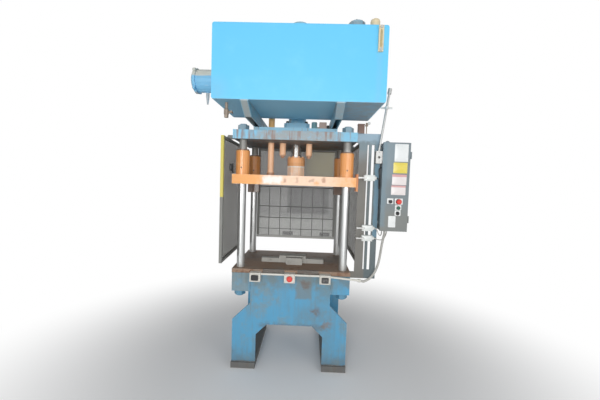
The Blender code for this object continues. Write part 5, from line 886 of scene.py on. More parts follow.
BASE = Finish(
    "base_blue", (0.088, 0.32, 0.515), (0.205, 0.26, 0.265), rust=(0.17, 0.115, 0.085), bare=(0.3, 0.31, 0.31),
    fading_size=4.5, rust_size=10.0, runs=0.58, runs_soft=0.34, runs_colour=(0.15, 0.19, 0.19), edge=0.55,
    edge_width=0.006, roughness=0.55, bump=0.2,
    zones=(
        Zone((0.145, 0.185, 0.19), x=(-0.6, 0.6), y=BASE_FRONT, z=(0.755, 1.2), soft=0.1, ragged=0.05,
             strength=0.75),
        Zone((0.15, 0.2, 0.21), x=(-0.32, -0.04), y=BASE_FRONT, z=(0.69, 1.2), soft=0.12, ragged=0.06,
             strength=0.6),
        Zone((0.15, 0.2, 0.2), x=(0.2, 0.38), y=BASE_FRONT, z=(0.63, 1.2), soft=0.1, ragged=0.05, strength=0.6),
        Zone((0.165, 0.195, 0.195), x=(0.05, 0.185), y=BASE_FRONT, z=(0.635, 0.9), soft=0.022, ragged=0.016,
             strength=0.72),
        Zone((0.15, 0.1, 0.075), x=(0.085, 0.17), y=BASE_FRONT, z=(0.735, 0.8), soft=0.04, ragged=0.03,
             size=18.0),
        Zone((0.15, 0.2, 0.21), x=(0.1, 0.4), y=BASE_FRONT, z=(0.1, 0.6), soft=0.14, ragged=0.08, strength=0.5),
        Zone((0.15, 0.1, 0.085), x=(0.185, 0.255), y=BASE_FRONT, z=(0.49, 0.55), soft=0.045, ragged=0.03,
             size=20.0),
        Zone((0.23, 0.15, 0.1), x=(0.3, 0.365), y=BASE_FRONT, z=(0.385, 0.455), soft=0.04, ragged=0.04, size=26.0,
             strength=0.6),
        Zone((0.22, 0.26, 0.26), x=(-0.54, -0.37), y=BASE_FRONT, z=(0.66, 0.9), soft=0.05, ragged=0.03,
             strength=0.7),
        Zone((0.15, 0.13, 0.11), z=(-0.1, 0.058), soft=0.006, ragged=0.004, strength=0.9, roughness=0.85),
        Zone((0.11, 0.095, 0.08), z=(-0.1, 0.12), soft=0.14, ragged=0.06, strength=0.45),
        Zone((0.13, 0.1, 0.08), x=(-0.26, 0.3), y=(-0.4, -0.35), z=(0.36, 0.41), soft=0.035, ragged=0.03,
             size=22.0, strength=0.45),
    ),
)
BED = Finish(
    "bed_rust", (0.285, 0.185, 0.125), (0.265, 0.225, 0.185), rust=(0.2, 0.105, 0.065), bare=(0.36, 0.34, 0.31),
    fading=0.55, fading_size=7.0, rusting=0.35, edge=0.7, roughness=0.58, metallic=0.22, bump=0.35, skin_size=120.0,
    zones=(
        Zone((0.11, 0.105, 0.097), x=(-0.245, -0.055), y=(-0.4, -0.366), soft=0.008, ragged=0.003, strength=0.85),
        Zone((0.11, 0.105, 0.097), x=(0.055, 0.245), y=(-0.4, -0.366), soft=0.008, ragged=0.003, strength=0.85),
        Zone((0.125, 0.118, 0.105), y=(-0.06, 0.4), soft=0.2, ragged=0.1, strength=0.6),
    ),
)
DIE = Finish(
    "die_steel", (0.31, 0.305, 0.28), (0.2, 0.195, 0.18), rust=(0.13, 0.1, 0.08), bare=(0.5, 0.49, 0.46),
    fading_size=16.0, rusting=0.2, rust_size=18.0, edge=0.8, metallic=0.5, bump=0.3,
)
ORANGE = Finish(
    "platen_orange", (0.88, 0.39, 0.105), (0.91, 0.53, 0.27), rust=(0.3, 0.15, 0.09), bare=(0.8, 0.66, 0.54),
    fading=0.45, fading_size=6.0, rusting=0.09, rust_size=17.0, runs=0.12, runs_size=40.0,
    runs_colour=(0.6, 0.3, 0.16), edge=0.55, roughness=0.45,
    zones=(
        Zone((0.95, 0.86, 0.78), x=(-0.27, 0.36), y=PLATEN_FRONT, soft=0.12, ragged=0.05, size=12.0, strength=0.95),
        Zone((0.94, 0.64, 0.44), x=(0.33, 0.52), y=PLATEN_FRONT, soft=0.08, ragged=0.04, size=16.0, strength=0.75),
        Zone((0.93, 0.86, 0.8), x=(-0.262, -0.105), y=PLATEN_FRONT, z=(1.64, 1.7), soft=0.03, ragged=0.016,
             size=24.0, strength=0.95),
        Zone((0.5, 0.27, 0.17), x=(-0.088, -0.062), y=PLATEN_FRONT, z=(1.652, 1.682), soft=0.016, ragged=0.01,
             size=40.0, strength=0.75),
        Zone((0.55, 0.31, 0.2), x=(0.02, 0.04), y=PLATEN_FRONT, z=(1.65, 1.7), soft=0.014, ragged=0.01,
             size=40.0, strength=0.55),
        Zone((0.52, 0.3, 0.2), x=(0.135, 0.175), y=PLATEN_FRONT, z=(1.66, 1.685), soft=0.016, ragged=0.012,
             size=40.0, strength=0.65),
        Zone((0.45, 0.22, 0.13), x=(0.245, 0.275), y=PLATEN_FRONT, z=(1.66, 1.7), soft=0.018, ragged=0.014,
             size=40.0, strength=0.75),
        Zone((0.16, 0.12, 0.1), z=(1.6, 1.6285), soft=0.002, strength=0.75),
        Zone((0.42, 0.24, 0.15), y=(-0.36, 0.5), z=(1.708, 1.72), soft=0.004, strength=0.6),
    ),
)
SLEEVE = Finish(
    "bushing_orange", (0.85, 0.36, 0.11), (0.92, 0.6, 0.36), rust=(0.33, 0.15, 0.08), bare=(0.6, 0.55, 0.5),
    fading=0.4, fading_size=9.0, rusting=0.07, rust_size=20.0, runs=0.15, runs_size=55.0,
    runs_colour=(0.7, 0.4, 0.22), roughness=0.28, coat=0.35,
    zones=(
        Zone((0.17, 0.13, 0.11), z=(1.45, 1.627), soft=0.003, ragged=0.002, strength=0.93, roughness=0.6),
        Zone((0.12, 0.11, 0.1), z=(1.918, 1.99), soft=0.003, ragged=0.002, strength=0.85),
    ),
)
ROD = Finish(
    "stop_rod_orange", (0.92, 0.55, 0.33), (0.93, 0.68, 0.5), rust=(0.3, 0.15, 0.1), fading_size=9.0,
    rusting=0.1, rust_size=22.0, runs=0.2, runs_size=55.0, runs_colour=(0.62, 0.38, 0.28), edge=0.4,
    roughness=0.45,
    zones=(
        # Painted light: above the crown the rod gets a stronger, more saturated orange, to make up for the tank's
        # shadow that falls on it there.
        Zone((1.0, 0.52, 0.19), z=(2.06, 3.0), soft=0.01, ragged=0.005, strength=1.0),
        Zone((0.34, 0.17, 0.11), z=(1.7, 1.738), ragged=0.008, size=30.0),
        Zone((0.4, 0.2, 0.13), x=(-0.2, 0.2), z=(1.86, 1.905), ragged=0.008, size=30.0, strength=0.75),
    ),
)
COUPLING = Finish(
    "coupling_orange", (0.93, 0.66, 0.46), (0.94, 0.8, 0.7), rust=(0.34, 0.17, 0.11), bare=(0.86, 0.78, 0.7),
    fading=0.55, fading_size=14.0, rust_size=26.0, runs=0.3, runs_size=60.0, runs_colour=(0.52, 0.3, 0.2),
    edge=0.6, edge_width=0.003, roughness=0.45,
    zones=(
        Zone((0.9, 0.42, 0.15), z=(1.835, 1.95), soft=0.003, ragged=0.002, strength=0.85),
        Zone((0.95, 0.88, 0.8), z=(1.797, 1.83), soft=0.003, ragged=0.003, strength=0.85),
    ),
)
STEEL = Finish(
    "bare_steel", (0.36, 0.35, 0.33), (0.25, 0.24, 0.225), rust=(0.17, 0.1, 0.065), bare=(0.55, 0.54, 0.52),
    fading_size=20.0, rust_size=30.0, roughness=0.38, metallic=0.85, bump=0.15, skin_size=200.0,
)
ZINC = Finish(
    "zinc_grey", (0.5, 0.5, 0.485), (0.38, 0.38, 0.365), rust=(0.28, 0.2, 0.14), bare=(0.66, 0.66, 0.64),
    fading_size=22.0, rusting=0.06, rust_size=30.0, edge=0.4, roughness=0.42, metallic=0.55, skin_size=260.0,
)
STAND = Finish(
    "stand_grey_blue", (0.115, 0.145, 0.155), (0.14, 0.143, 0.13), rust=(0.17, 0.12, 0.09), bare=(0.34, 0.35, 0.34),
    fading=0.55, fading_size=5.0, rusting=0.1, rust_size=12.0, runs=0.3, runs_size=30.0,
    runs_colour=(0.2, 0.18, 0.155), roughness=0.52,
    zones=(
        Zone((0.185, 0.165, 0.14), x=(0.44, 0.634), z=(0.8, 1.95), ragged=0.008, strength=0.75),
        Zone((0.14, 0.3, 0.42), x=(0.7, 0.76), z=(1.2, 2.2), ragged=0.01, strength=0.6),
        Zone((0.25, 0.33, 0.37), z=(1.88, 2.2), soft=0.16, ragged=0.04, strength=0.55),
        Zone((0.33, 0.46, 0.56), z=(2.02, 2.2), soft=0.03, ragged=0.02),
    ),
)
CABINET = Finish(
    "cabinet_grey", (0.18, 0.215, 0.232), (0.215, 0.242, 0.24), rust=(0.22, 0.17, 0.14), bare=(0.38, 0.4, 0.4),
    fading_size=2.6, rusting=0.03, rust_size=20.0, runs=0.08, runs_size=30.0, runs_colour=(0.22, 0.235, 0.225),
    edge=0.4, roughness=0.42, skin_size=70.0,
    zones=(
        Zone((0.205, 0.208, 0.188), z=(1.2, 1.46), soft=0.2, ragged=0.04, strength=0.75),
        Zone((0.23, 0.305, 0.345), x=(0.75, 0.86), z=(1.7, 2.1), soft=0.12, ragged=0.04, strength=0.65),
        Zone((0.16, 0.26, 0.32), x=(0.74, 0.785), z=(1.3, 2.1), soft=0.03, ragged=0.012, strength=0.5),
    ),
)
GUARD = Finish(
    "guard_grey", (0.21, 0.21, 0.195), (0.27, 0.27, 0.25), rust=(0.16, 0.105, 0.07), bare=(0.42, 0.41, 0.39),
    fading_size=5.0, rust_size=14.0, edge=0.4, roughness=0.55,
    zones=(
        Zone((0.64, 0.55, 0.11), x=(-0.62, -0.55), y=(-0.53, -0.484), z=(1.514, 2.05), soft=0.006, ragged=0.006,
             strength=0.95),
        Zone((0.78, 0.66, 0.16), x=(0.55, 0.6), y=(-0.33, -0.29), z=(1.8, 2.05), ragged=0.012, strength=0.85),
        Zone((0.5, 0.5, 0.48), x=(-0.45, 0.45), y=(0.38, 0.43), z=(1.0, 1.064), soft=0.006, ragged=0.003),
    ),
)
LATTICE = Finish(
    "mesh_grey", (0.215, 0.22, 0.212), (0.28, 0.285, 0.27), rust=(0.13, 0.09, 0.06), fading_size=4.0, edge=0.0,
    roughness=0.6, metallic=0.1, bump=0.0,
    zones=(
        Zone((0.095, 0.088, 0.062), y=(-0.6, 0.34), ragged=0.01, strength=0.78),
        Zone((0.41, 0.42, 0.4), y=REAR_MESH, z=(1.0, 1.26), soft=0.1, ragged=0.03),
        Zone((0.26, 0.22, 0.055), x=(0.08, 0.42), y=REAR_MESH, z=(1.7, 2.02), soft=0.1, ragged=0.03,
             strength=0.85),
        Zone((0.06, 0.061, 0.06), x=(-0.1, 0.36), y=REAR_MESH, z=(1.31, 1.6), soft=0.03, ragged=0.008),
        Zone((0.035, 0.035, 0.033), x=(-0.145, -0.03), y=REAR_MESH, z=(1.065, 1.106), soft=0.004, ragged=0.001,
             strength=0.9),
        Zone((0.035, 0.035, 0.033), x=(0.27, 0.38), y=REAR_MESH, z=(1.065, 1.106), soft=0.004, ragged=0.001,
             strength=0.9),
    ),
)
CAST = Finish(
    "switch_cast", (0.7, 0.72, 0.7), (0.58, 0.6, 0.58), rust=(0.32, 0.25, 0.18), bare=(0.6, 0.6, 0.6),
    fading=0.4, fading_size=24.0, rusting=0.05, rust_size=40.0, edge=0.4, roughness=0.42, metallic=0.1,
    skin_size=240.0,
)
BLACK = moulded(
    "black_moulded", (0.018, 0.018, 0.02), (0.04, 0.04, 0.042), bare=(0.1, 0.1, 0.1), fading_size=30.0, edge=0.25,
    roughness=0.38, bump=0.06, skin_size=400.0,
)
RUBBER = cable_skin("cable_black", (0.03, 0.03, 0.03), (0.07, 0.068, 0.065), rusting=0.0, roughness=0.6)
RED = moulded(
    "red_moulded", (0.72, 0.055, 0.04), (0.8, 0.14, 0.11), bare=(0.85, 0.45, 0.4), roughness=0.3, coat=0.2,
)
GREEN = moulded("green_moulded", (0.03, 0.12, 0.08), (0.05, 0.17, 0.12), bare=(0.3, 0.4, 0.35), roughness=0.32)
BRONZE = Finish(
    "bronze_cast", (0.31, 0.25, 0.2), (0.24, 0.2, 0.17), rust=(0.14, 0.11, 0.09), bare=(0.48, 0.38, 0.29),
    rusting=0.2, rust_size=30.0, edge=0.4, roughness=0.55, metallic=0.35, bump=0.25, skin_size=200.0,
)
TAN = Finish(
    "aged_tan", (0.7, 0.6, 0.4), (0.55, 0.46, 0.3), rust=(0.3, 0.18, 0.1), bare=(0.8, 0.76, 0.62),
    rusting=0.15, rust_size=30.0, skin_size=200.0,
)
MOTOR = Finish(
    "motor_cream_and_blue", (0.57, 0.58, 0.52), (0.51, 0.52, 0.47), rust=(0.26, 0.2, 0.16),
    bare=(0.55, 0.6, 0.62), fading_size=14.0, rusting=0.05, rust_size=22.0, edge_width=0.0025, roughness=0.48,
    bump=0.2, skin_size=160.0,
    zones=(
        Zone((0.18, 0.49, 0.74), z=(2.1, 2.436), soft=0.014, ragged=0.005, strength=0.95),
        Zone((0.16, 0.4, 0.6), x=(-0.9, -0.79), ragged=0.02, strength=0.55),
        Zone((0.42, 0.4, 0.37), z=(2.1, 2.33), soft=0.01, ragged=0.004),
    ),
)
VALVE = Finish(
    "valve_brown", (0.47, 0.33, 0.27), (0.36, 0.26, 0.21), fading_size=20.0, rusting=0.2, rust_size=30.0,
    zones=(
        Zone((0.13, 0.32, 0.35), x=(0.13, 0.195), soft=0.004, ragged=0.001, strength=0.9),
    ),
)
LABEL_WHITE = plate_paint("plate_white", (0.78, 0.8, 0.79), (0.7, 0.72, 0.7), rust=(0.45, 0.4, 0.33))
LABEL_YELLOW = plate_paint("plate_yellow", (0.76, 0.62, 0.1), (0.7, 0.6, 0.18), rust=(0.4, 0.32, 0.15))
LABEL_ROSE = plate_paint(
    "plate_rose", (0.78, 0.72, 0.71), (0.72, 0.62, 0.61), rust=(0.45, 0.35, 0.3),
    zones=(
        Zone((0.62, 0.22, 0.22), z=(1.728, 1.76), soft=0.002, strength=0.7),
        Zone((0.62, 0.22, 0.22), z=(1.64, 1.66), soft=0.002, strength=0.7),
    ),
)
GLASS = Finish(
    "gauge_glass", (0.5, 0.4, 0.2), (0.62, 0.56, 0.42), fading_size=30.0, rusting=0.0, edge=0.0, roughness=0.12,
    bump=0.0, coat=0.6,
)
BOX_BROWN = Finish(
    "box_brown", (0.2, 0.125, 0.1), (0.26, 0.18, 0.15), fading_size=18.0, rusting=0.15, rust_size=26.0,
)
POST = Chrome(
    "post_chrome", roughness=0.32, stained_from=0.9, stained_to=2.0, colour=(0.68, 0.69, 0.68), streaks=0.2,
    zones=(
        Zone((0.29, 0.42, 0.49), z=(2.0905, 2.5), soft=0.001, strength=1.0),
        Zone((0.1, 0.26, 0.38), z=(0.0, 0.85), soft=0.001, strength=1.0),
    ),
)
RAM = Chrome(
    "ram_chrome", roughness=0.2, stained_from=1.8, stained_to=9.0, colour=(0.6, 0.6, 0.58),
    zones=(
        Zone((0.84, 0.42, 0.18), z=(1.0, 1.8435), soft=0.001, strength=1.0),
    ),
)
CHROMED = Chrome("ring_chrome", roughness=0.25, stained_from=-1.0, stained_to=9.0, streaks=0.1)
TAB = Finish(
    "tab_orange", (0.62, 0.24, 0.09), (0.42, 0.19, 0.1), rust=(0.22, 0.11, 0.07), bare=(0.6, 0.5, 0.42),
    fading_size=9.0, rusting=0.3, rust_size=22.0, edge=0.6, roughness=0.55,
)
BLACKENED = Finish(
    "blackened_steel", (0.055, 0.052, 0.05), (0.09, 0.085, 0.078), rust=(0.14, 0.08, 0.05), bare=(0.35, 0.34, 0.32),
    fading_size=30.0, rust_size=40.0, edge_width=0.001, roughness=0.45, metallic=0.5,
)
WORN_BLACK = moulded(
    "worn_black_moulded", (0.045, 0.045, 0.045), (0.23, 0.22, 0.21), rust=(0.42, 0.4, 0.37), bare=(0.4, 0.39, 0.37),
    fading=0.55, fading_size=26.0, rusting=0.22, rust_size=34.0, edge=0.5, roughness=0.45, bump=0.1,
)
RAIL = Finish(
    "rail_cream", (0.66, 0.64, 0.58), (0.54, 0.52, 0.47), rust=(0.24, 0.15, 0.1), bare=(0.78, 0.77, 0.72),
    fading_size=18.0, rusting=0.1, rust_size=30.0, edge_width=0.002, roughness=0.42, skin_size=200.0,
)
CONDUIT = Finish(
    "conduit_grey", (0.44, 0.43, 0.4), (0.34, 0.33, 0.3), rust=(0.2, 0.16, 0.12), fading_size=16.0, rusting=0.06,
    rust_size=30.0, edge=0.0, bump=0.1, skin_size=200.0,
)
GREY_LEAD = cable_skin(
    "lead_grey", (0.5, 0.49, 0.46), (0.4, 0.39, 0.37), rusting=0.04, rust_size=40.0, roughness=0.55,
)
DARK_BARS = Finish(
    "flat_bar_dark", (0.1, 0.1, 0.095), (0.14, 0.135, 0.13), rust=(0.15, 0.1, 0.07), fading_size=9.0,
    rusting=0.2, rust_size=14.0, edge=0.0, roughness=0.6,
)


@dataclass
class Base:
    """The welded base with the bed plate, the die block and the weld beads."""

    shop: Workshop
    front: float = 0.381
    neck: float = 0.350
    leg_outer: float = 0.500
    leg_inner: float = 0.300
    foot_top: float = 0.0535
    housing_low: float = 0.688
    housing_high: float = 0.846
    bead_width: float = 0.009

    def foot_seams(self) -> Shell:
        """Beads where the front and rear plates stand on the foot pads."""
        beads = []
        for k, (side, row) in enumerate(CORNERS):
            y = row * (self.front + 0.002)
            start, end = ((side * x, y, self.foot_top) for x in (self.leg_inner, self.leg_outer))
            beads.append(seam(start, end, 90, self.bead_width, 11 + k))
        return Shell.joined(beads)

    def housing_seams(self) -> Shell:
        """Upright beads where the post housings meet the neck."""
        beads = []
        for k, (side, row) in enumerate(CORNERS):
            x, y = side * (self.neck + 0.0015), row * (self.front - 0.001)
            beads.append(seam((x, y, self.housing_low), (x, y, self.housing_high), 70, self.bead_width, 31 + k))
        return Shell.joined(beads)

    def build(self) -> None:
        """Dress the base and lay its beads."""
        self.shop.dress_all({"base_frame": BASE, "bed_plate": BED, "die_block": DIE})
        self.shop.add("base_foot_weld_beads", self.foot_seams(), "frame_blue", BASE)
        self.shop.add("base_housing_weld_beads", self.housing_seams(), "frame_blue", BASE)


@dataclass
class Uprights:
    """The four posts, the crown, the top plate and the cylinder."""

    shop: Workshop
    head_top: float = 2.2064
    head_reach: float = 0.088
    screw_width: float = 0.030
    screw_height: float = 0.020

    def head_screws(self) -> Shell:
        """Four socket screws that hold the cylinder's head."""
        places = [place(sx * self.head_reach, sy * self.head_reach, self.head_top) for sx, sy in CORNERS]
        return socket_screw(self.screw_width, self.screw_height).repeated(places)

    def build(self) -> None:
        """Dress the frame above the bed and add the head's screws."""
        for corner in CORNER_NAMES:
            self.shop.dress("post_" + corner, POST)
        self.shop.dress_all({"crown_plate": CROWN, "top_plate": TOP, "cylinder": TOP})
        self.shop.add("cylinder_head_screws", self.head_screws(), "bare_steel", BLACKENED)


@dataclass
class Carriage:
    """Everything that goes up and down with the ram."""

    shop: Workshop
    spread_x: float = 0.457
    spread_y: float = 0.305
    sleeve_radius: float = 0.061
    nipple_height: float = 1.768

    def nipples(self) -> Shell:
        """A grease nipple low on the front of each bushing: hexagon, neck and ball."""
        profile = [(0.0, -0.001), (0.0058, -0.001), (0.0058, 0.004), (0.0030, 0.0045), (0.0024, 0.008),
                   (0.0034, 0.0095), (0.0034, 0.0125), (0.0018, 0.0145), (0.0, 0.0145)]
        nipple = lathe(profile, 12).facing(Facing.FRONT)
        return nipple.repeated([
            place(side * self.spread_x, row * self.spread_y - self.sleeve_radius, self.nipple_height)
            for side, row in CORNERS
        ])

    def build(self) -> None:
        """Dress the carriage and add its grease nipples."""
        for corner in CORNER_NAMES:
            self.shop.dress("guide_bushing_" + corner, SLEEVE)
        self.shop.dress_all({
            "platen": ORANGE, "trip_tab": TAB, "coupling_block": COUPLING, "coupling_ring": COUPLING,
            "ram_rod": RAM, "stop_rod": ROD, "knockout_stop_left": ROD, "knockout_stop_right": ROD,
        })
        self.shop.add("bushing_grease_nipples", self.nipples(), "bare_steel", BLACKENED, "ram")


@dataclass
class Tank:
    """The oil tank with its beams, lid, filler, gauge and drain."""

    shop: Workshop
    front: float = -0.904
    bottom: float = 2.2078
    beam_sides: tuple[float, ...] = (-0.3615, -0.3025, 0.3025, 0.3615)
    beam_end: float = -0.300
    lid: Point = (0.430, -0.804, 2.7812)
    lid_circle: float = 0.040
    gauge_x: float = 0.579
    gauge_face: float = -0.92225
    gauge_low: float = 2.5419
    gauge_high: float = 2.7139

    def beam_seams(self) -> Shell:
        """Beads along the tops of the beams, under the tank."""
        return Shell.joined([
            seam((x, self.front + 0.02, self.bottom), (x, self.beam_end, self.bottom), 150, 0.006, 51 + k)
            for k, x in enumerate(self.beam_sides)
        ])

    def gauge_glass(self) -> Shell:
        """The gauge's glass tube, half sunk in its window."""
        ends = (self.gauge_low + 0.028, self.gauge_high - 0.028)
        low, high = (place(self.gauge_x, self.gauge_face + 0.001, z) for z in ends)
        return tube(line(low, high, 6), 0.0052, 16)

    def gauge_screws(self) -> Shell:
        """The two hollow screws that hold the gauge, one above and one below its glass."""
        screw = hexagon(0.019, 0.008).facing(Facing.FRONT)
        places = [place(self.gauge_x, self.gauge_face, z) for z in (self.gauge_low + 0.013, self.gauge_high - 0.013)]
        return screw.repeated(places)

    def lid_screws(self) -> Shell:
        """Six hexagon screws on the lid of the strainer."""
        turn = np.linspace(0.0, 2.0 * np.pi, 6, endpoint=False) + 0.3
        (x, y, z), r = self.lid, self.lid_circle
        places = [place(x + r * math.cos(a), y + r * math.sin(a), z) for a in turn]
        return hexagon(0.010, 0.005).repeated(places)

    def build(self) -> None:
        """Dress the tank and add its small parts."""
        self.shop.dress_all({
            "tank_body": TANK, "tank_cover": TANK, "tank_beam_left": BEAM, "tank_beam_right": BEAM,
            "strainer_lid": BEAM,
            "filler_cap": TAN, "level_gauge": TAN, "drain_valve": BRONZE, "drain_handle": BRONZE,
        })
        self.shop.add("tank_beam_weld_beads", self.beam_seams(), "tank_blue", BEAM)
        self.shop.add("gauge_glass", self.gauge_glass(), "tan", GLASS)
        self.shop.add("gauge_screws", self.gauge_screws(), "tan", ZINC)
        self.shop.add("strainer_lid_screws", self.lid_screws(), "bare_steel", ZINC)


@dataclass
class Drive:
    """The motor on the tank's side, its pump and the valve on the top plate."""

    shop: Workshop
    axis_y: float = -0.596
    axis_z: float = 2.418
    bell_end: float = -0.7931
    bolt_circle: float = 0.096
    coil_foot: Point = (0.2865, -0.200, 2.1235)
    coil_height: float = 0.044

    def bell_bolts(self) -> Shell:
        """Four through-bolt heads on the lugs of the end bell."""
        bolt = hexagon(0.013, 0.007).facing(Facing.LEFT)
        places = []
        for turn in (0.25, 0.75, 1.25, 1.75):
            y = self.axis_y + self.bolt_circle * math.cos(turn * math.pi)
            z = self.axis_z + self.bolt_circle * math.sin(turn * math.pi)
            places.append(place(self.bell_end + 0.018, y, z))
        return bolt.repeated(places)

    def coil(self) -> Shell:
        """The dark coil on the valve's right end, with its round nut."""
        body = slab((0.026, 0.060, self.coil_height), 0.004, 0.002)
        nut = lathe([(0.0, 0.0), (0.009, 0.0), (0.009, 0.009), (0.0, 0.009)], 20).moved((0.0, 0.0, self.coil_height))
        return Shell.joined([body, nut]).moved(place(*self.coil_foot))

    def build(self) -> None:
        """Dress the motor, the pump and the valve."""
        self.shop.dress_all({
            "motor_body": MOTOR, "motor_end_bell": MOTOR, "motor_rotor": STEEL, "pump_body": STEEL,
            "valve_block": VALVE,
        })
        self.shop.add("motor_bell_bolts", self.bell_bolts(), "bare_steel", ZINC)
        self.shop.add("valve_coil", self.coil(), "black", BLACKENED)


@dataclass
class SwitchStand:
    """The slotted stand with its three limit switches and the small box on its head."""

    shop: Workshop
    levels: dict[str, float] = field(default_factory=lambda: {"upper": 1.712, "slow": 1.280, "bottom": 1.192})
    face: float = -0.3805
    left: float = 0.6028
    right: float = 0.6948
    slots: Pair = (0.634, 0.676)
    back: float = -0.3218
    pilot: Point = (0.5645, -0.328, 2.0918)
    pipe: Point = (0.612, -0.328, 2.0918)

    def cover_screws(self, level: float) -> Shell:
        """Four screws at the corners of a limit switch's cover."""
        screw = pan_screw(0.0065).facing(Facing.FRONT)
        sides = (self.left + 0.007, self.right - 0.007)
        places = [place(x, self.face, level + dz) for x in sides for dz in (-0.018, 0.018)]
        return screw.repeated(places)

    def cover(self, level: float) -> Shell:
        """The raised cover of a limit switch."""
        plate = slab((self.right - self.left - 0.006, 0.044, 0.0015), 0.006, 0.0008).facing(Facing.FRONT)
        return plate.moved(place(0.5 * (self.left + self.right), self.face + 0.0002, level))

    def slot_bolts(self) -> Shell:
        """Two bolts beside each limit switch, through the slots of the stand."""
        bolt = hexagon(0.012, 0.006).facing(Facing.REAR)
        spots = [(x, dz) for x in self.slots for dz in (-0.012, 0.012)]
        places = [place(x, self.back, level + dz) for level in self.levels.values() for x, dz in spots]
        return bolt.repeated(places)

    def pilot_box(self) -> Shell:
        """The small box with its lid on the head of the stand."""
        body = slab((0.055, 0.048, 0.072), 0.004, 0.002)
        lid = slab((0.059, 0.052, 0.008), 0.005, 0.002).moved((0.0, 0.0, 0.072))
        return Shell.joined([body, lid]).moved(place(*self.pilot))

    def fitting(self) -> tuple[Shell, Shell]:
        """A brass elbow on a thin pipe beside the small box, and the pale knob on its side."""
        profile = [(0.0, 0.0003), (0.0045, 0.0003), (0.0045, 0.062), (0.0125, 0.064), (0.0125, 0.076),
                   (0.0085, 0.078), (0.0085, 0.092), (0.0, 0.094)]
        knob = lathe([(0.0, -0.010), (0.007, -0.010), (0.012, -0.004), (0.012, 0.004), (0.007, 0.010), (0.0, 0.010)])
        knob = knob.moved((0.021, 0.0, 0.089))
        return lathe(profile, 20).moved(place(*self.pipe)), knob.moved(place(*self.pipe))

    def build(self) -> None:
        """Dress the stand and its switches."""
        self.shop.dress("switch_stand", STAND)
        for name, level in self.levels.items():
            self.shop.dress_all({"limit_switch_" + name: CAST, "switch_arm_" + name: ZINC})
            self.shop.add("switch_cover_" + name, self.cover(level), "switch_cast", CAST)
            self.shop.add("switch_screws_" + name, self.cover_screws(level), "bare_steel", ZINC)
        self.shop.add("switch_slot_bolts", self.slot_bolts(), "bare_steel", ZINC)
        self.shop.add("stand_pilot_box", self.pilot_box(), "valve_brown", BOX_BROWN)
        body, knob = self.fitting()
        self.shop.add("stand_fitting", body, "bronze", BRONZE)
        self.shop.add("stand_fitting_knob", knob, "switch_cast", CAST)


@dataclass
class ToggleStation:
    """The toggle box on the stand, its plate, screws and riser strap."""

    shop: Workshop
    centre: Pair = (0.7208, 1.890)
    face: float = -0.3793
    riser_foot: Point = (0.7208, -0.3568, 1.944)
    riser_lean: float = 0.1323
    strap_height: float = 2.310

    def cover_plate(self) -> Shell:
        """The box's front plate with the hole for the toggle."""
        plate = pierced_plate((0.055, 0.104), 0.021, 0.0014)
        return plate.facing(Facing.FRONT).moved(place(self.centre[0], self.face, self.centre[1]))

    def plate_screws(self) -> Shell:
        """Two screws, above and below the toggle."""
        screw = pan_screw(0.007).facing(Facing.FRONT)
        places = [place(self.centre[0], self.face - 0.0013, self.centre[1] + dz) for dz in (-0.041, 0.041)]
        return screw.repeated(places)

    def strap(self) -> Shell:
        """A strap round the riser, beside the tank."""
        rise = self.strap_height - self.riser_foot[2]
        ring = lathe([(0.0102, -0.011), (0.0145, -0.011), (0.0145, 0.011), (0.0102, 0.011), (0.0102, -0.011)], 20)
        arm = slab((0.100, 0.016, 0.004), 0.004, 0.001).facing(Facing.FRONT).moved((0.0, 0.0128, 0.0))
        return Shell.joined([ring, arm]).moved(
            place(self.riser_foot[0] + rise * self.riser_lean, self.riser_foot[1], self.strap_height))

    def build(self) -> None:
        """Dress the toggle box and add its plate, screws and strap."""
        self.shop.dress_all({"toggle_box": ZINC, "toggle_lever": STEEL})
        self.shop.add("toggle_cover_plate", self.cover_plate(), "galvanised", ZINC)
        self.shop.add("toggle_plate_screws", self.plate_screws(), "bare_steel", STEEL)
        self.shop.add("riser_strap", self.strap(), "galvanised", CAST)


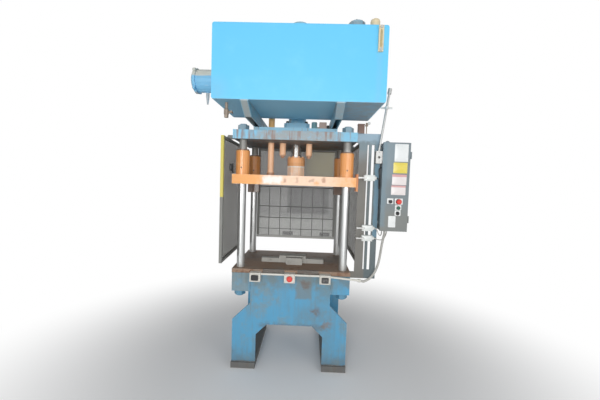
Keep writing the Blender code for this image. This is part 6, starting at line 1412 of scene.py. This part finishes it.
@dataclass
class GuardPanel:
    """A guard of square tube and flattened mesh, hung from the crown by lugs."""

    shop: Workshop
    name: str
    low: Point
    high: Point
    side: bool
    lugs: tuple[tuple[Point, Point], ...]
    bolts: Facing
    tube_width: float = 0.025
    bolt_height: float = 2.037
    weave: Mesh2d = Mesh2d()

    def frame_bars(self) -> Shell:
        """Two uprights and two rails of square tube with the lugs on the upper rail."""
        low, high, t = np.array(self.low), np.array(self.high), self.tube_width
        along = 1 if self.side else 0
        parts = []
        for start in (low[along], high[along] - t):
            a, b = low.copy(), high.copy()
            a[along], b[along] = start, start + t
            parts.append(bar(a, b, 0.002))
        for start in (low[2], high[2] - t):
            a, b = low.copy(), high.copy()
            a[along], b[along] = low[along] + t, high[along] - t
            a[2], b[2] = start, start + t
            parts.append(bar(a, b, 0.002))
        for a, b in self.lugs:
            parts.append(bar(a, b, 0.0015))
        return Shell.joined(parts).moved(place(0.0, 0.0, 0.0))

    def mesh_sheet(self) -> Shell:
        """The mesh, a little wider than the opening of the frame, in the frame's middle plane."""
        low, high, t = np.array(self.low), np.array(self.high), self.tube_width
        along = 1 if self.side else 0
        width = high[along] - low[along] - 2.0 * t + 0.006
        height = high[2] - low[2] - 2.0 * t + 0.006
        sheet = self.weave.sheet(width, height)
        if self.side:
            sheet = sheet.turned(((0.0, -1.0, 0.0), (1.0, 0.0, 0.0), (0.0, 0.0, 1.0)))
        return sheet.moved(place(*(0.5 * (low + high))))

    def lug_bolts(self) -> Shell:
        """One bolt head on the outer face of each lug."""
        bolt = hexagon(0.017, 0.007).facing(self.bolts)
        axis = 0 if self.side else 1
        outer = min if self.bolts is Facing.LEFT else max
        places = []
        for a, b in self.lugs:
            middle = 0.5 * (np.array(a) + np.array(b))
            middle[2] = self.bolt_height
            middle[axis] = outer(a[axis], b[axis])
            places.append(place(*middle))
        return bolt.repeated(places)

    def build(self) -> None:
        """Make the frame in the solid's stead, the mesh and the bolts."""
        frame = "guard_" + self.name
        self.shop.add(frame + "_tubes", self.frame_bars(), "guard_grey", GUARD, instead_of=(frame,))
        self.shop.add(frame + "_mesh", self.mesh_sheet(), "guard_grey", LATTICE, angle=80.0)
        self.shop.add(frame + "_bolts", self.lug_bolts(), "bare_steel", BLACKENED)


@dataclass
class Guards:
    """The two side guards, the rear guard with its flat bars, and the latch."""

    shop: Workshop
    columns: tuple[float, ...] = (-0.30, -0.18, -0.06, 0.06, 0.18, 0.30)
    rows: tuple[float, ...] = (1.135, 1.258, 1.382, 1.600)
    bar_width: float = 0.007
    bar_thickness: float = 0.003
    bar_edge: float = 0.0008
    lattice_face: float = 0.4015
    crossing: float = 0.0022
    reach: float = 0.411
    foot: float = 1.0607
    head: float = 1.600
    latch_body: Point = (-0.5832, -0.252, 1.773)
    latch_pin: Point = (-0.560, -0.252, 1.765)
    lug_low: float = 2.0202
    lug_high: float = 2.0537

    def flat_bars(self) -> Shell:
        """A lattice of thin flat bars over the lower part of the rear guard's mesh."""
        half, edge = 0.5 * self.bar_width, self.bar_edge
        front, back = self.lattice_face, self.lattice_face + self.bar_thickness
        parts = [bar((x - half, front, self.foot), (x + half, back, self.head), edge) for x in self.columns]
        low, high = front - self.crossing, back - self.crossing
        parts += [bar((-self.reach, low, z - half), (self.reach, high, z + half), edge) for z in self.rows]
        return Shell.joined(parts).moved(place(0.0, 0.0, 0.0))

    def latch(self) -> Shell:
        """The latch of the left guard: its body and its upright pin."""
        body = slab((0.044, 0.060, 0.018), 0.004, 0.0015).facing(Facing.RIGHT)
        pin = lathe([(0.0, -0.045), (0.006, -0.045), (0.006, 0.045), (0.0, 0.045)], 14)
        return Shell.joined([body.moved(place(*self.latch_body)), pin.moved(place(*self.latch_pin))])

    def build(self) -> None:
        """Build the three guards, the lattice and the latch."""
        low, high = self.lug_low, self.lug_high
        left_lugs = tuple(((-0.599, y - 0.016, low), (-0.5338, y + 0.016, high)) for y in (-0.2743, 0.2743))
        right_lugs = (((0.5338, 0.2583, low), (0.5905, 0.2903, high)),)
        rear_lugs = tuple(((x - 0.016, 0.3813, low), (x + 0.016, 0.4195, 2.0534)) for x in (-0.3045, 0.3045))
        panels = (
            GuardPanel(self.shop, "left", (-0.599, -0.510, 0.960), (-0.574, 0.420, 2.020), True, left_lugs,
                       Facing.LEFT),
            GuardPanel(self.shop, "right", (0.5655, -0.3215, 0.960), (0.5905, 0.420, 2.020), True, right_lugs,
                       Facing.RIGHT),
            GuardPanel(self.shop, "rear", (-0.435, 0.395, 1.036), (0.435, 0.420, 2.020), False, rear_lugs,
                       Facing.REAR),
        )
        for panel in panels:
            panel.build()
        self.shop.add("guard_rear_flat_bars", self.flat_bars(), "guard_grey", DARK_BARS)
        self.shop.add("guard_left_latch", self.latch(), "black", BLACK)


@dataclass(frozen=True)
class BlankPlate:
    """A bare plate stuck on the door: its limits along X and Z, and its finish."""

    name: str
    x: Pair
    z: Pair
    finish: Finish
    thick: float = 0.0009


DOOR_PLATES = (
    BlankPlate("door_plate_white", (0.846, 0.960), (1.856, 2.004), LABEL_WHITE),
    BlankPlate("door_plate_yellow", (0.840, 0.957), (1.759, 1.849), LABEL_YELLOW),
    BlankPlate("door_plate_rose_upper", (0.834, 0.955), (1.660, 1.749), LABEL_ROSE),
    BlankPlate("door_plate_rose_lower", (0.830, 0.951), (1.575, 1.655), LABEL_ROSE),
    BlankPlate("legend_start", (0.801, 0.853), (1.498, 1.545), LABEL_WHITE),
    BlankPlate("legend_stop", (0.866, 0.932), (1.494, 1.546), LABEL_WHITE),
    BlankPlate("legend_green", (0.870, 0.922), (1.446, 1.4895), LABEL_WHITE),
    BlankPlate("legend_selector", (0.869, 0.918), (1.398, 1.4435), LABEL_WHITE),
    BlankPlate("door_plate_lower", (0.818, 0.879), (1.298, 1.395), LABEL_WHITE),
)


@dataclass
class ControlBox:
    """The control box, its door, the operators on the door and the bare plates."""

    shop: Workshop
    face: float = -0.39435
    plates: tuple[BlankPlate, ...] = DOOR_PLATES

    def plate(self, item: BlankPlate) -> Shell:
        """A thin plate with rounded corners on the door's face."""
        size = (item.x[1] - item.x[0], item.z[1] - item.z[0], item.thick)
        middle = place(0.5 * sum(item.x), self.face + 0.0002, 0.5 * sum(item.z))
        return slab(size, 0.004, 0.0003).facing(Facing.FRONT).moved(middle)

    def bezel(self, x: float, z: float, width: float, head: float) -> Shell:
        """A ring round an operator: a thin floor that the pushed head clears, inside a raised rim."""
        r, inner = 0.5 * width, 0.5 * head + 0.0008
        ring = lathe([
            (0.0088, 0.0), (r, 0.0), (r, 0.0012), (r - 0.0006, 0.0018), (inner + 0.0003, 0.0018), (inner, 0.0005),
            (0.0088, 0.0005), (0.0088, 0.0),
        ], 36)
        return ring.facing(Facing.FRONT).moved(place(x, self.face - 0.0002, z))

    def build(self) -> None:
        """Dress the box and the door and lay the plates and rings."""
        self.shop.dress_all({
            "control_box": CABINET, "control_door": CABINET, "door_button_start": BLACK, "door_stop": RED,
            "door_button_green": GREEN, "door_selector": BLACK,
        })
        for item in self.plates:
            self.shop.add(item.name, self.plate(item), "box_grey", item.finish, "control_door_body")
        rings = (("start", 0.8274, 1.517, 0.037, 0.030), ("stop", 0.8984, 1.518, 0.052, 0.046),
                 ("green", 0.8962, 1.4652, 0.037, 0.030), ("selector", 0.8940, 1.4183, 0.037, 0.030))
        for name, x, z, width, head in rings:
            ring = self.bezel(x, z, width, head)
            self.shop.add("door_ring_" + name, ring, "galvanised", CHROMED, "control_door_body")


@dataclass
class ButtonRail:
    """The three button boxes on their conduit along the bed's front."""

    shop: Workshop
    places_x: tuple[float, ...] = (-0.303, -0.006, 0.297)
    level: float = 0.832
    face: float = -0.4453
    screw_spread: Pair = (0.039, 0.031)

    def cover(self, x: float) -> Shell:
        """A box's front plate with the hole for its button."""
        plate = pierced_plate((0.091, 0.075), 0.025, 0.0014)
        return plate.facing(Facing.FRONT).moved(place(x, self.face, self.level))

    def screws(self, x: float) -> Shell:
        """Four screws at the corners of a front plate."""
        screw = pan_screw(0.0065).facing(Facing.FRONT)
        dx, dz = self.screw_spread
        places = [place(x + sx * dx, self.face - 0.0013, self.level + sz * dz) for sx, sz in CORNERS]
        return screw.repeated(places)

    def build(self) -> None:
        """Dress the rail and its buttons, and add the plates and screws."""
        self.shop.dress_all({
            "button_rail": RAIL, "palm_button_left": BLACK, "stop_button": RED, "palm_button_right": WORN_BLACK,
        })
        for name, x in zip(("left", "middle", "right"), self.places_x):
            self.shop.add("rail_plate_" + name, self.cover(x), "galvanised", RAIL)
            self.shop.add("rail_screws_" + name, self.screws(x), "bare_steel", STEEL)


@dataclass
class Lead:
    """A cable or conduit that is held at both ends."""

    shop: Workshop
    name: str
    knots: tuple[Point, ...]
    width: float
    finish: Finish
    slot: str
    stiffness: str
    instead_of: tuple[str, ...] = ()
    pitch: float = 0.0

    def build(self) -> None:
        """Carry a circle along the smooth route, with ribs where there is a pitch."""
        knots = [place(*knot) for knot in self.knots]
        coarse = catmull(knots, 200)
        length = float(np.linalg.norm(np.diff(coarse, axis=0), axis=1).sum())
        if self.pitch > 0.0:
            ribs = int(length / self.pitch)
            path = catmull(knots, 4 * ribs + 1)
            wave = np.tile((1.0, 1.0, 0.90, 0.90), ribs)
            radius = 0.5 * self.width * np.append(wave, 1.0)
            shell = tube(path, radius, 16)
        else:
            path = catmull(knots, 60)
            shell = tube(path, 0.5 * self.width, 14)
        item = self.shop.add(self.name, shell, self.slot, self.finish, angle=50.0, instead_of=self.instead_of)
        length = float(np.linalg.norm(np.diff(path, axis=0), axis=1).sum())


@dataclass
class Wiring:
    """The flexible conduit and the cables of the limit switches."""

    shop: Workshop

    def build(self) -> None:
        """Make the leads."""
        leads = (
            Lead(self.shop, "ribbed_conduit", (
                (0.6006, -0.4226, 0.8320), (0.6152, -0.4226, 0.8307), (0.6298, -0.4226, 0.8295),
                (0.6760, -0.4240, 0.8580), (0.7180, -0.4180, 0.9120), (0.7460, -0.4100, 0.9850),
                (0.7640, -0.3920, 1.0650), (0.7800, -0.3660, 1.1400), (0.7970, -0.3420, 1.2000),
                (0.8063, -0.3300, 1.2341), (0.8063, -0.3300, 1.2509), (0.8063, -0.3300, 1.2677),
            ), 0.021, CONDUIT, "galvanised", "stiff", ("flexible_conduit",), 0.0052),
            Lead(self.shop, "upper_switch_cable", (
                (0.7103, -0.3543, 1.7120), (0.7143, -0.3543, 1.7120), (0.7204, -0.3545, 1.7108),
                (0.7256, -0.3555, 1.7073), (0.7291, -0.3575, 1.7021), (0.7303, -0.3600, 1.6955),
                (0.7298, -0.3655, 1.6760), (0.7288, -0.3710, 1.6550), (0.7284, -0.3725, 1.6360),
                (0.7302, -0.3687, 1.6258), (0.7346, -0.3595, 1.6216), (0.7390, -0.3503, 1.6258),
                (0.7408, -0.3465, 1.6360), (0.7408, -0.3450, 1.6600), (0.7385, -0.3432, 1.7000),
                (0.7350, -0.3418, 1.7400), (0.7328, -0.3406, 1.7700), (0.7325, -0.3402, 1.7872),
                (0.7347, -0.3400, 1.7955), (0.7408, -0.3400, 1.8015), (0.7527, -0.3400, 1.8037),
            ), 0.008, RUBBER, "black", "medium", ("switch_cable",)),
            Lead(self.shop, "slow_switch_cable", (
                (0.7100, -0.3543, 1.2800), (0.7200, -0.3545, 1.2790), (0.7350, -0.3600, 1.2620),
                (0.7480, -0.3600, 1.2320), (0.7640, -0.3500, 1.2160), (0.7820, -0.3150, 1.2220),
                (0.7920, -0.2850, 1.2450), (0.7940, -0.2800, 1.2675),
            ), 0.008, GREY_LEAD, "galvanised", "medium"),
            Lead(self.shop, "bottom_switch_cable", (
                (0.7100, -0.3543, 1.1920), (0.7200, -0.3545, 1.1910), (0.7420, -0.3620, 1.1830),
                (0.7750, -0.3500, 1.1800), (0.8080, -0.3200, 1.1920), (0.8330, -0.2860, 1.2240),
                (0.8400, -0.2720, 1.2500), (0.8400, -0.2700, 1.2675),
            ), 0.008, GREY_LEAD, "galvanised", "medium"),
        )
        for lead in leads:
            lead.build()


@dataclass
class Studio:
    """The pale floor, the lamps, the world and the camera."""

    eye: Point = (0.1303, -3.0602, 1.65)
    lens: float = 18.72
    turns: tuple[tuple[float, str], ...] = ((1.5, "Z"), (86.881, "X"), (1.881, "Z"))
    floor_reach: float = 40.0
    white_from: float = 1.0
    white_at: float = 3.2
    key: float = 190.0
    fill: float = 34.0
    ambient: float = 0.36

    def camera(self) -> None:
        """Put the camera where the picture was taken."""
        data = bpy.data.cameras.new("camera")
        data.lens = self.lens
        data.sensor_width = 36.0
        item = bpy.data.objects.new("camera", data)
        first, second, third = (Matrix.Rotation(math.radians(angle), 4, axis) for angle, axis in self.turns)
        item.matrix_world = Matrix.Translation(Vector(place(*self.eye))) @ (first @ second @ third)
        link(item)
        bpy.context.scene.camera = item

    def lamp(self, name: str, spot: Point, target: Point, power: float, width: float, height: float) -> None:
        """Hang a soft area lamp that looks at a point."""
        data = bpy.data.lights.new(name, "AREA")
        data.shape = "RECTANGLE"
        data.size = width
        data.size_y = height
        data.energy = power
        item = bpy.data.objects.new(name, data)
        item.location = place(*spot)
        item.rotation_euler = Vector(np.subtract(target, spot)).to_track_quat("-Z", "Y").to_euler()
        link(item)

    def world(self) -> None:
        """White to the camera and to mirrors; a plain even light, stronger from the front, to the rest."""
        world = bpy.data.worlds.new("studio")
        bpy.context.scene.world = world
        world.use_nodes = True
        world.node_tree.nodes.clear()
        n = Nodes(world.node_tree)
        ray = n.add("ShaderNodeLightPath")
        seen = n.math("MAXIMUM", ray.outputs["Is Camera Ray"], ray.outputs["Is Glossy Ray"])
        seen = n.math("MAXIMUM", seen, ray.outputs["Is Transmission Ray"])
        axes = n.axes(n.add("ShaderNodeTexCoord").outputs["Generated"])
        front, above = n.times(axes[1], -0.25), n.times(axes[2], 0.15)
        level = n.plus(n.plus(front, above), 1.0)
        soft = n.add("ShaderNodeBackground", (0.97, 0.985, 1.0), n.times(level, self.ambient))
        white = n.add("ShaderNodeBackground", WHITE, 1.0)
        n.blend(seen, soft, white, n.add("ShaderNodeOutputWorld"))

    def floor(self) -> None:
        """A wide pale floor that keeps the shadow near the press and goes white further off."""
        span = np.array((-self.floor_reach, self.floor_reach))
        points = np.stack(np.meshgrid(span, span, indexing="ij") + [np.zeros((2, 2))], -1)
        item = bpy.data.objects.new("studio_floor", Shell.grid(points).mesh("studio_floor"))
        link(item)
        material, n, shader = new_material("studio_floor")
        n.fill(shader, Base_Color=(0.86, 0.86, 0.86), Roughness=0.9)
        away = n.add("ShaderNodeVectorMath", n.object_place(), operation="LENGTH")
        far = n.ramp(away.outputs["Value"], self.white_from, self.white_at)
        share = n.times(far, n.add("ShaderNodeLightPath").outputs["Is Camera Ray"])
        n.blend(share, shader, n.add("ShaderNodeEmission", WHITE), material.node_tree.nodes["Material Output"])
        item.data.materials.append(material)

    def build(self) -> None:
        """Set up the studio."""
        self.camera()
        self.world()
        self.floor()
        self.lamp("key", (-0.4, -6.4, 1.85), (0.0, 0.0, 1.5), self.key, 2.7, 1.6)
        self.lamp("fill", (3.6, -4.6, 2.4), (0.2, 0.0, 1.4), self.fill, 2.0, 2.0)
        bpy.context.scene.view_settings.view_transform = "Standard"


def main() -> None:
    """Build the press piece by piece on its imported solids."""
    logging.basicConfig(level=logging.INFO, format="%(message)s")
    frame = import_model()
    shop = Workshop(ShaderKit(), frame)
    parts = (
        Studio(), Wiring(shop), Base(shop), Uprights(shop), Carriage(shop), Tank(shop), Drive(shop),
        SwitchStand(shop), ToggleStation(shop), Guards(shop), ControlBox(shop), ButtonRail(shop),
    )
    for part in parts:
        LOG.info("building %s", type(part).__name__)
        part.build()


if __name__ == "__main__":
    main()
